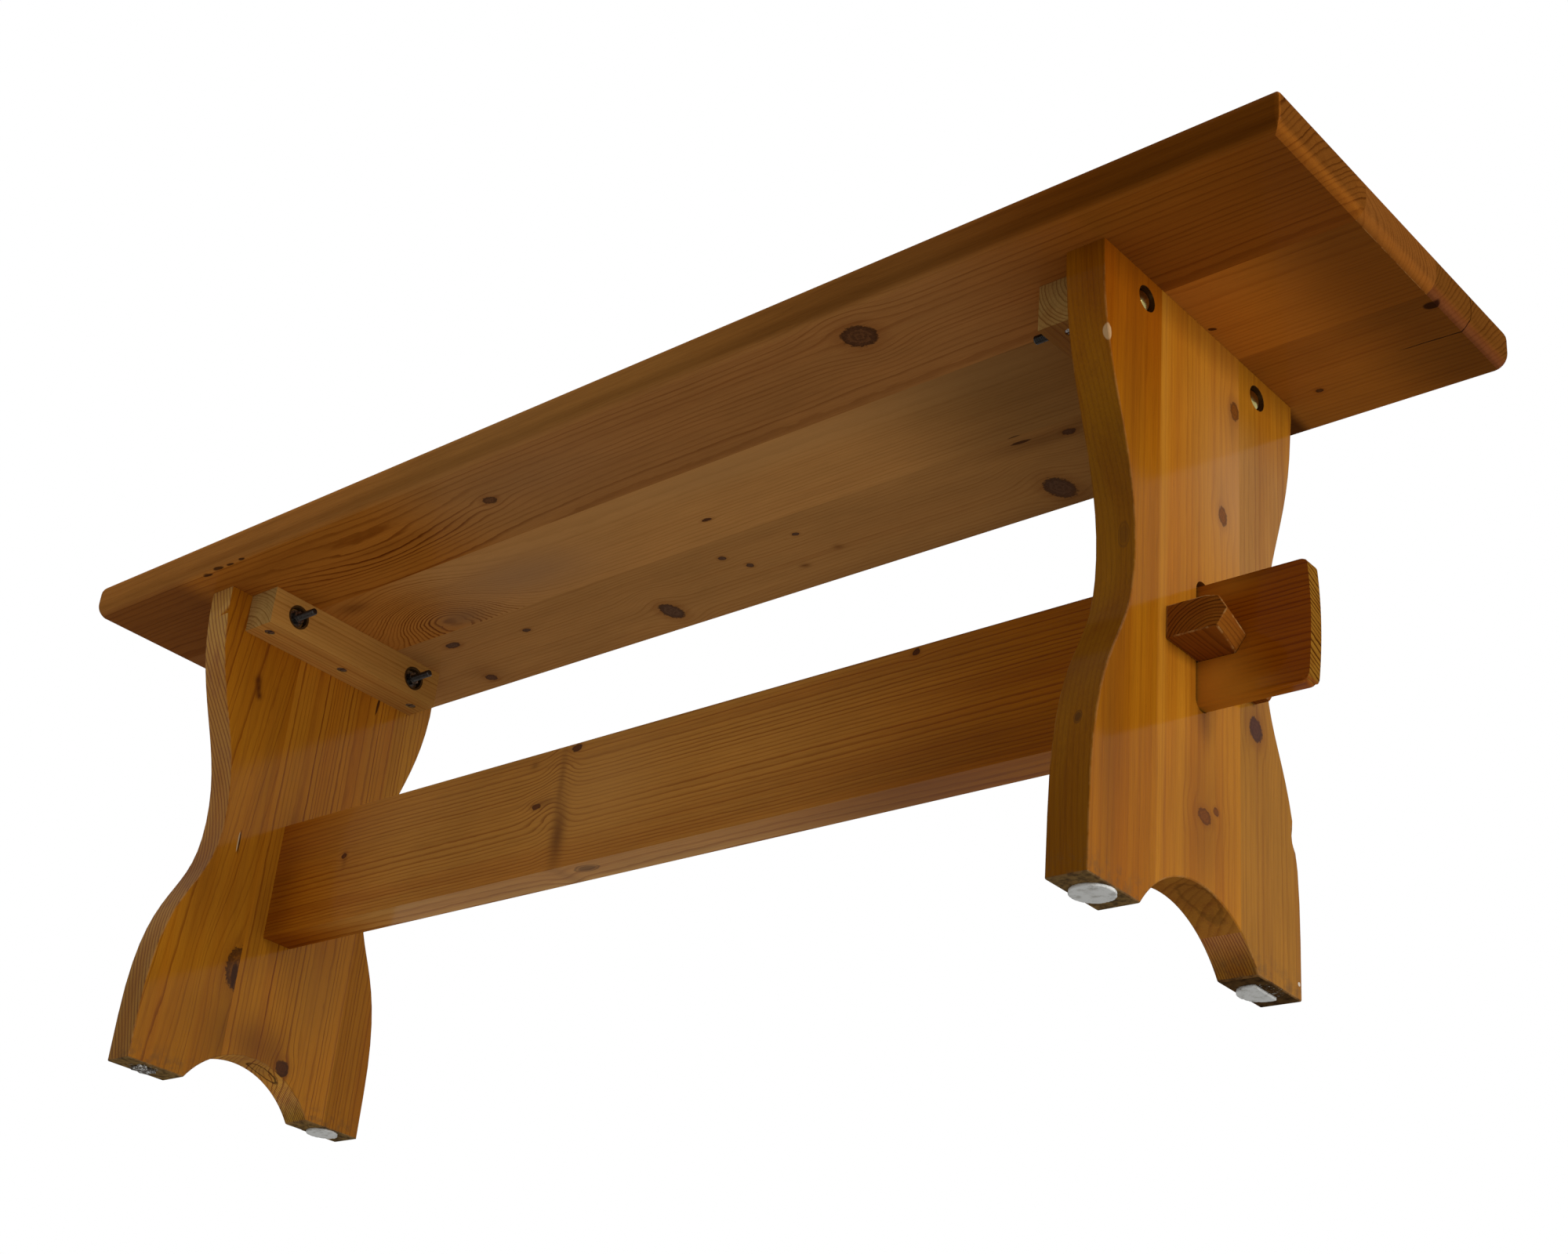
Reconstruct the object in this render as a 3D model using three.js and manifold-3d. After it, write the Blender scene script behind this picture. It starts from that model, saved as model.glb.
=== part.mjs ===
// Monks bench: a pine trestle bench, millimetres, +Z up, +X along the bench, -Y the front.
// The origin is the middle of the bench on the floor. The stretcher's tenons pass through both
// trestles and are drawn tight by loose wedges; battens bolted to the trestles carry the seat.
import * as THREE from 'three';
import { mergeVertices } from 'three/addons/utils/BufferGeometryUtils.js';
import Module from 'manifold-3d';

// Seat: three boards glued edge to edge, with a swelling edge all round
const seatLength = 1170;
const seatWidth = 298;
const seatHeight = 450; // of its top above the floor
const seatThickness = 30;
const seatFrontBoardWidth = 102;
const seatBackBoardWidth = 106;
const seatUndercut = 7; // how far the lower arris lies inside the widest line
const seatBulgeHeight = 12; // height of the widest line above the underside
const seatTopRound = 9;
const seatOverhang = 137; // past the trestles' outer faces

// Trestles: an hourglass of boards with an arch between its two feet. The two were shaped apart, so
// each flank has its own waist, at its distance from the middle, and its own swell from there out
// to the foot and to the shoulder
const trestleThickness = 27.5;
const leftFrontFlank = { waist: 75.5, foot: 42.5, shoulder: 41 };
const leftBackFlank = { waist: 81, foot: 37.5, shoulder: 39.5 };
const rightFrontFlank = { waist: 75, foot: 40.5, shoulder: 40.5 };
const rightBackFlank = { waist: 74.5, foot: 39, shoulder: 37 };
const footRise = 38; // straight flank above the floor end
const waistHeight = 219; // above the floor end
const shoulderRise = 9; // straight flank under the seat
const archWidth = 127;
const archHeight = 33.5;
const leftFrontJoint = 32.5; // glue line in front of the middle
const leftBackJointSetback = 0.5; // glue line behind the waist
const rightFrontJoint = 50;
const rightBackJoint = 43.5;

// Stretcher and its through tenons
const stretcherHeight = 100;
const stretcherThickness = 29;
const stretcherDrop = 36; // middle of the stretcher below the waist
const tenonHeight = 81;
const tenonThickness = 12;
const tenonLift = 1.8; // middle of the tenon above the middle of the stretcher
const tenonReach = 74; // past the trestle's outer face
const tenonBulge = 2; // of the rounded free end
const tenonEndRound = 2;
const tenonArris = 2.5;
const slotSideGap = 1.5;
const slotTopGap = 5;

// Wedges: six-sided keys, thick end to the front
const wedgeLength = 102;
const wedgeHeight = 22;
const wedgeFrontDepth = 40.5;
const wedgeBackDepth = 17;
const wedgeOverhang = 35; // thick end in front of the tenon's cheek
const wedgeDrop = 0.4; // middle of the wedge below the middle of the tenon
const wedgeRidgeHeight = 10;
const wedgeLowerChamfer = 7;
const wedgeUpperChamfer = 6;
const wedgeShoulderDrop = 2; // start of the upper chamfer below the top
const wedgeShoulderDepth = 14;
const wedgeGap = 0.3;
const mortiseSetback = 3; // inner wall behind the trestle's outer face

// Battens that tie the seat to the trestles
const battenWidth = 34;
const battenHeight = 34;
const battenOverhang = 28; // past the bolts

// Coach bolts with square necks, their washers and nuts
const boltInset = 7.5; // inside the narrowest waist
const boltDiameter = 6;
const boltStickOut = 21.5; // past the batten
const boltHeadDiameter = 16.5;
const boltHeadHeight = 3.4;
const boltHeadEdge = 0.6;
const boltNeckWidth = 6.4;
const boltNeckLength = 3;
const recessDiameter = 18;
const headRecessDepth = 3.5;
const nutRecessDepth = 6;
const washerDiameter = 15;
const washerThickness = 1.6;
const nutSides = 6;
const nutWidth = 10; // across the flats
const nutHeight = 5;

// Countersunk screws up through each batten into the seat
const screwOffset = 15; // past the bolts, for the outer two
const screwLength = 48;
const screwDiameter = 4.5;
const screwHeadDiameter = 8.5;
const screwHeadHeight = 2.8;
const screwPointLength = 6;
const screwSlotWidth = 1.2;
const screwSlotDepth = 1.4;
const screwRecess = 0.8;

// Felt pads: the back right one is torn along one side, the front left one down to a scrap
const padThickness = 2;
const padDiameter = 27;
const padInset = 26; // middle of the pad from the foot's outer flank
const tornChordShare = 0.35;
const scrapOutlineShares = [
  [-0.55, -0.78], [-0.1, -0.62], [0.2, -0.8], [0.62, -0.5], [0.48, -0.12], [0.7, 0.2],
  [0.4, 0.74], [0.06, 0.5], [-0.3, 0.68], [-0.62, 0.3], [-0.42, -0.05], [-0.74, -0.36],
];

// Clearances: between pieces that rest on each other, and round pieces in their holes
const restGap = 0.05;
const holeGap = 0.3;
const overrun = 20; // of every cutting solid past what it cuts

// Curves: where a flank's four handles lie along its rises, and how finely round shapes are stepped
const calfFootShare = 0.66;
const calfWaistShare = 0.41;
const thighWaistShare = 0.38;
const thighShoulderShare = 0.446;
const curveSteps = 14;
const domeSteps = 6;
const roundSteps = 32;

// Places along Y: bolts, and the outer two screws beside the middle one
const narrowestWaist = Math.min(
  leftFrontFlank.waist, leftBackFlank.waist, rightFrontFlank.waist, rightBackFlank.waist);
const boltSide = narrowestWaist - boltInset;
const screwSide = boltSide + screwOffset;
const battenEnd = boltSide + battenOverhang;

// Heights in a trestle's own frame, which stands on the end of the foot
const trestleHeight = seatHeight - seatThickness - restGap - padThickness;
const shoulderHeight = trestleHeight - shoulderRise;
const calfRise = waistHeight - footRise;
const thighRise = shoulderHeight - waistHeight;
const stretcherMiddle = waistHeight - stretcherDrop;
const tenonMiddle = stretcherMiddle + tenonLift;
const tenonLow = tenonMiddle - tenonHeight / 2;
const tenonHigh = tenonMiddle + tenonHeight / 2;
const wedgeFoot = tenonMiddle - wedgeDrop - wedgeHeight / 2;
const boltHeight = trestleHeight - battenHeight / 2;
const screwFoot = trestleHeight - battenHeight + screwRecess;

// Places along X in a trestle's own frame, which counts outwards from its outer face
const battenOuter = -trestleThickness - restGap;
const battenInner = battenOuter - battenWidth;
const battenMiddle = battenOuter - battenWidth / 2;
const headSeat = -headRecessDepth;
const nutSeat = battenInner + nutRecessDepth;
const boltLength = headSeat - battenInner + boltStickOut;

// Places in the bench's frame
const outerFace = seatLength / 2 - seatOverhang;
const stretcherEnd = outerFace - trestleThickness - restGap;
const seatUnderside = padThickness + trestleHeight + restGap;
const wedgeFront = -tenonThickness / 2 - wedgeOverhang;
const wedgeTaper = (wedgeFrontDepth - wedgeBackDepth) / wedgeLength;
const beyond = seatLength + overrun;

const wasm = await Module();
wasm.setup();

// A closed geometry as a solid that can be cut and joined
function toSolid(geometry) {
  const bare = geometry.clone();
  bare.deleteAttribute('normal');
  bare.deleteAttribute('uv');
  const merged = mergeVertices(bare);
  return new wasm.Manifold(new wasm.Mesh({
    numProp: 3,
    vertProperties: new Float32Array(merged.attributes.position.array),
    triVerts: new Uint32Array(merged.index.array),
  }));
}

// A solid back as a geometry
function toGeometry(solid) {
  const { vertProperties, triVerts } = solid.getMesh();
  const geometry = new THREE.BufferGeometry();
  geometry.setAttribute('position', new THREE.BufferAttribute(vertProperties, 3));
  geometry.setIndex(new THREE.BufferAttribute(triVerts, 1));
  geometry.computeVertexNormals();
  return geometry;
}

// A box between two corners
function box(low, high) {
  const size = high.map((value, axis) => value - low[axis]);
  const middle = high.map((value, axis) => (value + low[axis]) / 2);
  return toSolid(new THREE.BoxGeometry(...size).translate(...middle));
}

function extruded(outline, length) {
  const settings = { depth: length, bevelEnabled: false, curveSegments: curveSteps };
  return new THREE.ExtrudeGeometry(outline, settings);
}

// An outline in Y and Z, drawn out along X
function alongX(outline, from, to) {
  const turn = new THREE.Matrix4().makeBasis(
    new THREE.Vector3(0, 1, 0), new THREE.Vector3(0, 0, 1), new THREE.Vector3(1, 0, 0));
  return toSolid(extruded(outline, to - from).applyMatrix4(turn).translate(from, 0, 0));
}

// An outline in X and Z, drawn out along Y
function alongY(outline, from, to) {
  return toSolid(extruded(outline, to - from).rotateX(Math.PI / 2).translate(0, to, 0));
}

// A round bar along X
function barAlongX(diameter, from, to, y, z) {
  const bar = new THREE.CylinderGeometry(diameter / 2, diameter / 2, to - from, roundSteps);
  return toSolid(bar.rotateZ(Math.PI / 2).translate((from + to) / 2, y, z));
}

// The slice of a solid between two planes square to Y, and between two heights
function sliceOf(solid, from, to, low = -beyond, high = beyond) {
  return solid.intersect(box([-beyond, from, low], [beyond, to, high]));
}

// A profile of radius and height pairs turned about Z
function turned(profile) {
  const points = profile.map(([radius, z]) => new THREE.Vector2(radius, z));
  return new THREE.LatheGeometry(points, roundSteps).rotateX(Math.PI / 2);
}

function finish(color, roughness, metalness) {
  return new THREE.MeshStandardMaterial({ color, roughness, metalness, flatShading: true });
}

const seatPine = finish(0x9a6128, 0.42, 0);
const trestlePine = finish(0xb9772c, 0.4, 0);
const stretcherPine = finish(0xa86f2a, 0.42, 0);
const wedgePine = finish(0x7d4519, 0.45, 0);
const battenPine = finish(0xb88948, 0.6, 0);
const brass = finish(0xa58a45, 0.3, 1);
const blackSteel = finish(0x1b1a19, 0.45, 0.9);
const screwSteel = finish(0x6e675c, 0.4, 1);
const felt = finish(0xdcdcd6, 0.95, 0);

function piece(name, geometry, material, place = [0, 0, 0]) {
  const mesh = new THREE.Mesh(geometry, material);
  mesh.name = name;
  mesh.position.set(...place);
  return mesh;
}

// Seat edge: the lower arris lies inside the widest line, and the top is rounded over
function seatProfile(span) {
  const half = span / 2;
  const round = seatTopRound;
  const outline = new THREE.Shape();
  outline.moveTo(-half + seatUndercut, 0);
  outline.lineTo(half - seatUndercut, 0);
  outline.quadraticCurveTo(half, seatBulgeHeight - seatUndercut, half, seatBulgeHeight);
  outline.absarc(half - round, seatThickness - round, round, 0, Math.PI / 2);
  outline.absarc(-half + round, seatThickness - round, round, Math.PI / 2, Math.PI);
  outline.lineTo(-half, seatBulgeHeight);
  outline.quadraticCurveTo(-half, seatBulgeHeight - seatUndercut, -half + seatUndercut, 0);
  return outline;
}

// One flank from the floor end up to the seat, as distances from the middle and heights
function flankPoints(flank) {
  const { waist } = flank;
  const foot = waist + flank.foot;
  const shoulder = waist + flank.shoulder;
  const path = new THREE.Path();
  path.moveTo(foot, 0);
  path.lineTo(foot, footRise);
  path.bezierCurveTo(
    foot, footRise + calfRise * calfFootShare,
    waist, waistHeight - calfRise * calfWaistShare,
    waist, waistHeight);
  path.bezierCurveTo(
    waist, waistHeight + thighRise * thighWaistShare,
    shoulder, shoulderHeight - thighRise * thighShoulderShare,
    shoulder, shoulderHeight);
  path.lineTo(shoulder, trestleHeight);
  return path.getPoints(curveSteps);
}

// Trestle outline in Y and Z
function trestleOutline(frontFlank, backFlank) {
  const archRadius = ((archWidth / 2) ** 2 + archHeight ** 2) / (2 * archHeight);
  const archMiddle = archHeight - archRadius;
  const archAngle = Math.atan2(-archMiddle, archWidth / 2);
  const arch = new THREE.Path().absarc(0, archMiddle, archRadius, Math.PI - archAngle, archAngle, true);
  const front = flankPoints(frontFlank).map(({ x, y }) => new THREE.Vector2(-x, y)).reverse();
  return new THREE.Shape([...arch.getPoints(curveSteps), ...flankPoints(backFlank), ...front]);
}

// Slot with round ends that the tenon passes through, resting its lower corners on the round foot
function slotOutline() {
  const round = tenonThickness / 2 + slotSideGap;
  const cornerSide = tenonThickness / 2 - tenonArris;
  const cornerReach = round - restGap - tenonArris;
  const footMiddle = tenonLow + tenonArris + Math.sqrt(cornerReach ** 2 - cornerSide ** 2);
  const outline = new THREE.Shape();
  outline.absarc(0, tenonHigh + slotTopGap - round, round, 0, Math.PI);
  outline.absarc(0, footMiddle, round, Math.PI, 2 * Math.PI);
  return outline;
}

// Tenon section in Y and Z, with its long arrises rounded
function tenonSection() {
  const round = tenonArris;
  const side = tenonThickness / 2 - round;
  const outline = new THREE.Shape();
  outline.absarc(side, tenonLow + round, round, -Math.PI / 2, 0);
  outline.absarc(side, tenonHigh - round, round, 0, Math.PI / 2);
  outline.absarc(-side, tenonHigh - round, round, Math.PI / 2, Math.PI);
  outline.absarc(-side, tenonLow + round, round, Math.PI, 1.5 * Math.PI);
  return outline;
}

// Both tenons from the side: corners rounded, free ends swelling outwards
function tenonSide() {
  const tip = outerFace + tenonReach;
  const corner = tip - tenonBulge;
  const outline = new THREE.Shape();
  outline.moveTo(-corner + tenonEndRound, tenonLow);
  outline.lineTo(corner - tenonEndRound, tenonLow);
  outline.quadraticCurveTo(corner, tenonLow, corner, tenonLow + tenonEndRound);
  outline.quadraticCurveTo(tip + tenonBulge, tenonMiddle, corner, tenonHigh - tenonEndRound);
  outline.quadraticCurveTo(corner, tenonHigh, corner - tenonEndRound, tenonHigh);
  outline.lineTo(-corner + tenonEndRound, tenonHigh);
  outline.quadraticCurveTo(-corner, tenonHigh, -corner, tenonHigh - tenonEndRound);
  outline.quadraticCurveTo(-tip - tenonBulge, tenonMiddle, -corner, tenonLow + tenonEndRound);
  outline.quadraticCurveTo(-corner, tenonLow, -corner + tenonEndRound, tenonLow);
  return outline;
}

// An outline in X and Z at a wedge's thick end, counted from the trestle's outer face, drawn out
// along Y and leaning in towards the trestle as it runs back
function leaningAlongY(points, side, from, to) {
  const outline = new THREE.Shape(points.map(([x, z]) => new THREE.Vector2(side * x, z)));
  const lean = new THREE.Matrix4().set(
    1, -side * wedgeTaper, 0, side * wedgeTaper * wedgeFront,
    0, 1, 0, 0,
    0, 0, 1, 0,
    0, 0, 0, 1);
  return extruded(outline, to - from).rotateX(Math.PI / 2).translate(0, to, 0).applyMatrix4(lean);
}

// Section of a wedge at its thick end, grown by a gap all round
function wedgeSection(gap) {
  const depth = wedgeFrontDepth;
  const high = wedgeHeight + gap;
  return [
    [-beyond, -gap],
    [depth - wedgeLowerChamfer + gap, -gap],
    [depth + gap, wedgeRidgeHeight],
    [depth - wedgeUpperChamfer + gap, high - wedgeShoulderDrop],
    [depth - wedgeShoulderDepth + gap, high],
    [-beyond, high],
  ];
}

// Wedge: flat on the trestle, ridged on the outside
function wedgeSolid() {
  const back = wedgeFront + wedgeLength;
  const ridged = toSolid(leaningAlongY(wedgeSection(0), 1, wedgeFront, back));
  const outside = box([restGap, wedgeFront - overrun, -overrun], [beyond, back + overrun, beyond]);
  return ridged.intersect(outside);
}

// Mortise that a wedge passes through, open back to just behind the trestle's outer face
function mortiseSolid(side) {
  const leaning = leaningAlongY(wedgeSection(wedgeGap), side, -stretcherThickness, stretcherThickness);
  const solid = toSolid(leaning.translate(side * outerFace, 0, padThickness + wedgeFoot));
  const wall = side * (outerFace - mortiseSetback);
  const open = box(
    [Math.min(wall, side * beyond), -beyond, -beyond],
    [Math.max(wall, side * beyond), beyond, beyond]);
  return solid.intersect(open);
}

function stretcherSolid() {
  const half = stretcherThickness / 2;
  const low = stretcherMiddle - stretcherHeight / 2;
  const bar = box([-stretcherEnd, -half, low], [stretcherEnd, half, low + stretcherHeight]);
  const tenons = alongX(tenonSection(), -beyond, beyond)
    .intersect(alongY(tenonSide(), -stretcherThickness, stretcherThickness));
  return bar.add(tenons);
}

// Bolt with its head's seat at zero, head up
function boltGeometry() {
  const radius = boltHeadDiameter / 2;
  const shank = boltDiameter / 2;
  const profile = [[0, -boltLength], [shank, -boltLength], [shank, 0], [radius, 0]];
  for (let step = 0; step < domeSteps; step += 1) {
    const angle = step / domeSteps * Math.PI / 2;
    const rise = (boltHeadHeight - boltHeadEdge) * Math.sin(angle);
    profile.push([radius * Math.cos(angle), boltHeadEdge + rise]);
  }
  profile.push([0, boltHeadHeight]);
  const side = boltNeckWidth / 2;
  const neck = box([-side, -side, -boltNeckLength], [side, side, boltHeadEdge]);
  return toGeometry(toSolid(turned(profile)).add(neck));
}

// What a bolt, its head, neck and nut take out of the trestle and the batten
function boltHole(y) {
  const neck = boltNeckWidth / 2 + holeGap;
  const hole = barAlongX(boltDiameter + 2 * holeGap, battenInner - overrun, overrun, y, boltHeight);
  const headRecess = barAlongX(recessDiameter, headSeat - restGap, overrun, y, boltHeight);
  const nutRecess = barAlongX(recessDiameter, battenInner - overrun, nutSeat, y, boltHeight);
  const neckPocket = box(
    [headSeat - boltNeckLength - holeGap, y - neck, boltHeight - neck],
    [0, y + neck, boltHeight + neck]);
  return hole.add(headRecess).add(nutRecess).add(neckPocket);
}

function washerGeometry() {
  const hole = barAlongX(boltDiameter + 2 * holeGap, -overrun, overrun, 0, 0);
  return toGeometry(barAlongX(washerDiameter, 0, washerThickness, 0, 0).subtract(hole));
}

function nutGeometry() {
  const radius = nutWidth / 2 / Math.cos(Math.PI / nutSides);
  const hole = barAlongX(boltDiameter + 2 * holeGap, -overrun, overrun, 0, 0);
  const prism = new THREE.CylinderGeometry(radius, radius, nutHeight, nutSides);
  const solid = toSolid(prism.rotateZ(Math.PI / 2).translate(nutHeight / 2, 0, 0));
  return toGeometry(solid.subtract(hole));
}

// Screw with its slotted head at zero and its point up
function screwGeometry() {
  const profile = [
    [0, 0],
    [screwHeadDiameter / 2, 0],
    [screwDiameter / 2, screwHeadHeight],
    [screwDiameter / 2, screwLength - screwPointLength],
    [0, screwLength],
  ];
  const slot = box(
    [-overrun, -screwSlotWidth / 2, -overrun], [overrun, screwSlotWidth / 2, screwSlotDepth]);
  return toGeometry(toSolid(turned(profile)).subtract(slot));
}

// What a screw takes out of the batten and the seat
function screwHole(x, y, z) {
  const head = screwHeadDiameter / 2 + holeGap;
  const shank = screwDiameter / 2 + holeGap;
  const profile = [
    [0, -overrun],
    [head, -overrun],
    [head, holeGap],
    [shank, screwHeadHeight + holeGap],
    [shank, screwLength + holeGap],
    [0, screwLength + holeGap],
  ];
  return toSolid(turned(profile).translate(x, y, z));
}

function seat() {
  let slab = alongX(seatProfile(seatWidth), -beyond, beyond)
    .intersect(alongY(seatProfile(seatLength), -beyond, beyond));
  for (const side of [-1, 1]) {
    for (const y of [-screwSide, 0, screwSide]) {
      const x = side * (outerFace + battenMiddle);
      slab = slab.subtract(screwHole(x, y, padThickness + screwFoot - seatUnderside));
    }
  }
  const firstJoint = -seatWidth / 2 + seatFrontBoardWidth;
  const secondJoint = seatWidth / 2 - seatBackBoardWidth;
  const group = new THREE.Group();
  group.position.z = seatUnderside;
  group.add(piece('seat_board_front', toGeometry(sliceOf(slab, -beyond, firstJoint)), seatPine));
  group.add(piece('seat_board_middle', toGeometry(sliceOf(slab, firstJoint, secondJoint)), seatPine));
  group.add(piece('seat_board_back', toGeometry(sliceOf(slab, secondJoint, beyond)), seatPine));
  return group;
}

function stretcher() {
  let solid = stretcherSolid().translate([0, 0, padThickness]);
  for (const side of [-1, 1]) {
    solid = solid.subtract(mortiseSolid(side));
  }
  return piece('stretcher', toGeometry(solid), stretcherPine);
}

// Trestle with its slot, bolt holes and recesses, still in one
function trestleSolid(frontFlank, backFlank) {
  let solid = alongX(trestleOutline(frontFlank, backFlank), -trestleThickness, 0)
    .subtract(alongX(slotOutline(), -trestleThickness - overrun, overrun));
  for (const y of [-boltSide, boltSide]) {
    solid = solid.subtract(boltHole(y));
  }
  return solid;
}

function trestleBoard(name, solid) {
  return piece(name, toGeometry(solid), trestlePine);
}

// The waist cuts right through the narrow back board and leaves its two corners
function leftTrestle() {
  const solid = trestleSolid(leftFrontFlank, leftBackFlank);
  const backJoint = leftBackFlank.waist + leftBackJointSetback;
  return [
    trestleBoard('left_trestle_board_front', sliceOf(solid, -beyond, -leftFrontJoint)),
    trestleBoard('left_trestle_board_middle', sliceOf(solid, -leftFrontJoint, backJoint)),
    trestleBoard('left_trestle_top_corner', sliceOf(solid, backJoint, beyond, waistHeight, beyond)),
    trestleBoard('left_trestle_foot_corner', sliceOf(solid, backJoint, beyond, -beyond, waistHeight)),
  ];
}

function rightTrestle() {
  const solid = trestleSolid(rightFrontFlank, rightBackFlank);
  return [
    trestleBoard('right_trestle_board_front', sliceOf(solid, -beyond, -rightFrontJoint)),
    trestleBoard('right_trestle_board_middle', sliceOf(solid, -rightFrontJoint, rightBackJoint)),
    trestleBoard('right_trestle_board_back', sliceOf(solid, rightBackJoint, beyond)),
  ];
}

function batten(name) {
  let solid = box(
    [battenInner, -battenEnd, trestleHeight - battenHeight],
    [battenOuter, battenEnd, trestleHeight]);
  for (const y of [-boltSide, boltSide]) {
    solid = solid.subtract(boltHole(y));
  }
  for (const y of [-screwSide, 0, screwSide]) {
    solid = solid.subtract(screwHole(battenMiddle, y, screwFoot));
  }
  return piece(`${name}_batten`, toGeometry(solid), battenPine);
}

// Bolt through trestle and batten, with the washer and nut in the batten's recess
function fastening(name, y) {
  const bolt = piece(`${name}_bolt`, boltGeometry(), brass, [headSeat, y, boltHeight]);
  bolt.rotation.y = Math.PI / 2;
  const washerPlace = nutSeat - restGap - washerThickness;
  const washer = piece(`${name}_washer`, washerGeometry(), blackSteel, [washerPlace, y, boltHeight]);
  const nutPlace = washerPlace - restGap - nutHeight;
  const nut = piece(`${name}_nut`, nutGeometry(), blackSteel, [nutPlace, y, boltHeight]);
  return [bolt, washer, nut];
}

// Whole pad, as a disc hanging from the end of the foot
function padSolid() {
  const radius = padDiameter / 2;
  const disc = new THREE.CylinderGeometry(radius, radius, padThickness - restGap, roundSteps);
  return toSolid(disc.rotateX(Math.PI / 2).translate(0, 0, -(padThickness + restGap) / 2));
}

function tornPadSolid() {
  const chord = tornChordShare * padDiameter / 2;
  return padSolid().intersect(box([-beyond, -beyond, -beyond], [chord, beyond, beyond]));
}

function scrapSolid() {
  const radius = padDiameter / 2;
  const points = scrapOutlineShares.map(([x, y]) => new THREE.Vector2(radius * x, radius * y));
  const felt = extruded(new THREE.Shape(points), padThickness - restGap);
  return toSolid(felt.translate(0, 0, -padThickness));
}

// Pads under both feet of a trestle, each as far in from its own flank
function pads(name, frontFlank, frontPad, backFlank, backPad) {
  const x = -trestleThickness / 2;
  const front = padInset - frontFlank.waist - frontFlank.foot;
  const back = backFlank.waist + backFlank.foot - padInset;
  return [
    piece(`${name}_front_pad`, toGeometry(frontPad), felt, [x, front, 0]),
    piece(`${name}_back_pad`, toGeometry(backPad), felt, [x, back, 0]),
  ];
}

function screw(name, y) {
  return piece(`${name}_screw`, screwGeometry(), screwSteel, [battenMiddle, y, screwFoot]);
}

// One end of the bench, outwards along +X, with the trestle and pads of its own
function endAssembly(name, side, own) {
  const group = new THREE.Group();
  group.position.set(side * outerFace, 0, padThickness);
  group.scale.x = side;
  group.add(...own, batten(name));
  group.add(...fastening(`${name}_front`, -boltSide));
  group.add(...fastening(`${name}_back`, boltSide));
  group.add(screw(`${name}_front`, -screwSide));
  group.add(screw(`${name}_middle`, 0));
  group.add(screw(`${name}_back`, screwSide));
  group.add(piece(`${name}_wedge`, toGeometry(wedgeSolid()), wedgePine, [0, 0, wedgeFoot]));
  return group;
}

const bench = new THREE.Group();
bench.add(seat());
bench.add(stretcher());
bench.add(endAssembly('left', -1, [
  ...leftTrestle(),
  ...pads('left', leftFrontFlank, scrapSolid(), leftBackFlank, padSolid()),
]));
bench.add(endAssembly('right', 1, [
  ...rightTrestle(),
  ...pads('right', rightFrontFlank, padSolid(), rightBackFlank, tornPadSolid()),
]));

export default bench;
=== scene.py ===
import math

import bmesh
import bpy
from mathutils import Matrix, Vector, noise


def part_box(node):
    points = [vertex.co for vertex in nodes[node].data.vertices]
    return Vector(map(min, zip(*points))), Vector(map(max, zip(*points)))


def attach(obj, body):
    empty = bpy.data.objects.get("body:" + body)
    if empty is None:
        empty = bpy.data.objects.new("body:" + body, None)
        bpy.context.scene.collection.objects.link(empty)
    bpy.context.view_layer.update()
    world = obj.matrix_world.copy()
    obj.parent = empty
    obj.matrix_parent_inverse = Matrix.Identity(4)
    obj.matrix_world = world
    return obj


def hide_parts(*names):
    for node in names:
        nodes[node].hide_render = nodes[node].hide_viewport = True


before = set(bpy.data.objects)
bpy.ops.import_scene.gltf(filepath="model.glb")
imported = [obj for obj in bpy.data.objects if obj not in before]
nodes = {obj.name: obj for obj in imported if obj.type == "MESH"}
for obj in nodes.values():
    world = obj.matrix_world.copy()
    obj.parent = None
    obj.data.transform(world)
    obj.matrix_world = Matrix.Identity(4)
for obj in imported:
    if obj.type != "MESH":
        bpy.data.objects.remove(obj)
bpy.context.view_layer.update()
mm = 0.001  # every length below is written in millimetres
print("frame loaded:", len(nodes), "nodes")


def addObject(name, data):
    made = bpy.data.objects.new(name, data)
    bpy.context.scene.collection.objects.link(made)
    return made


# the view from under the right end

cameraLook = {
    "eye": (1096.264, -1090.959, -469.919),
    "right": (0.72286641, 0.68074592, 0.11852911),
    "down": (-0.23725698, 0.40563099, -0.88270755),
    "forward": (-0.64897864, 0.60995778, 0.45472874),
    "focalPixels": 2948.33,
    "middlePixels": (784.699, 792.768),
    "picture": (2000, 1600),
    "sensor": 36,
    "nearest": 10,
}


def placeCamera(look):
    camera = addObject("camera", bpy.data.cameras.new("camera"))
    right, down, forward = (Vector(look[key]).normalized() for key in ("right", "down", "forward"))
    turn = Matrix((right, -down, -forward)).transposed()
    camera.matrix_world = Matrix.Translation(Vector(look["eye"]) * mm) @ turn.to_4x4()
    wide, high = look["picture"]
    camera.data.sensor_width = look["sensor"]
    camera.data.lens = look["focalPixels"] / wide * look["sensor"]
    camera.data.shift_x = (wide / 2 - look["middlePixels"][0]) / wide
    camera.data.shift_y = (look["middlePixels"][1] - high / 2) / wide
    camera.data.clip_start = look["nearest"] * mm
    bpy.context.scene.camera = camera


placeCamera(cameraLook)
print("camera placed")


# shader sums, written as plain expressions

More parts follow.
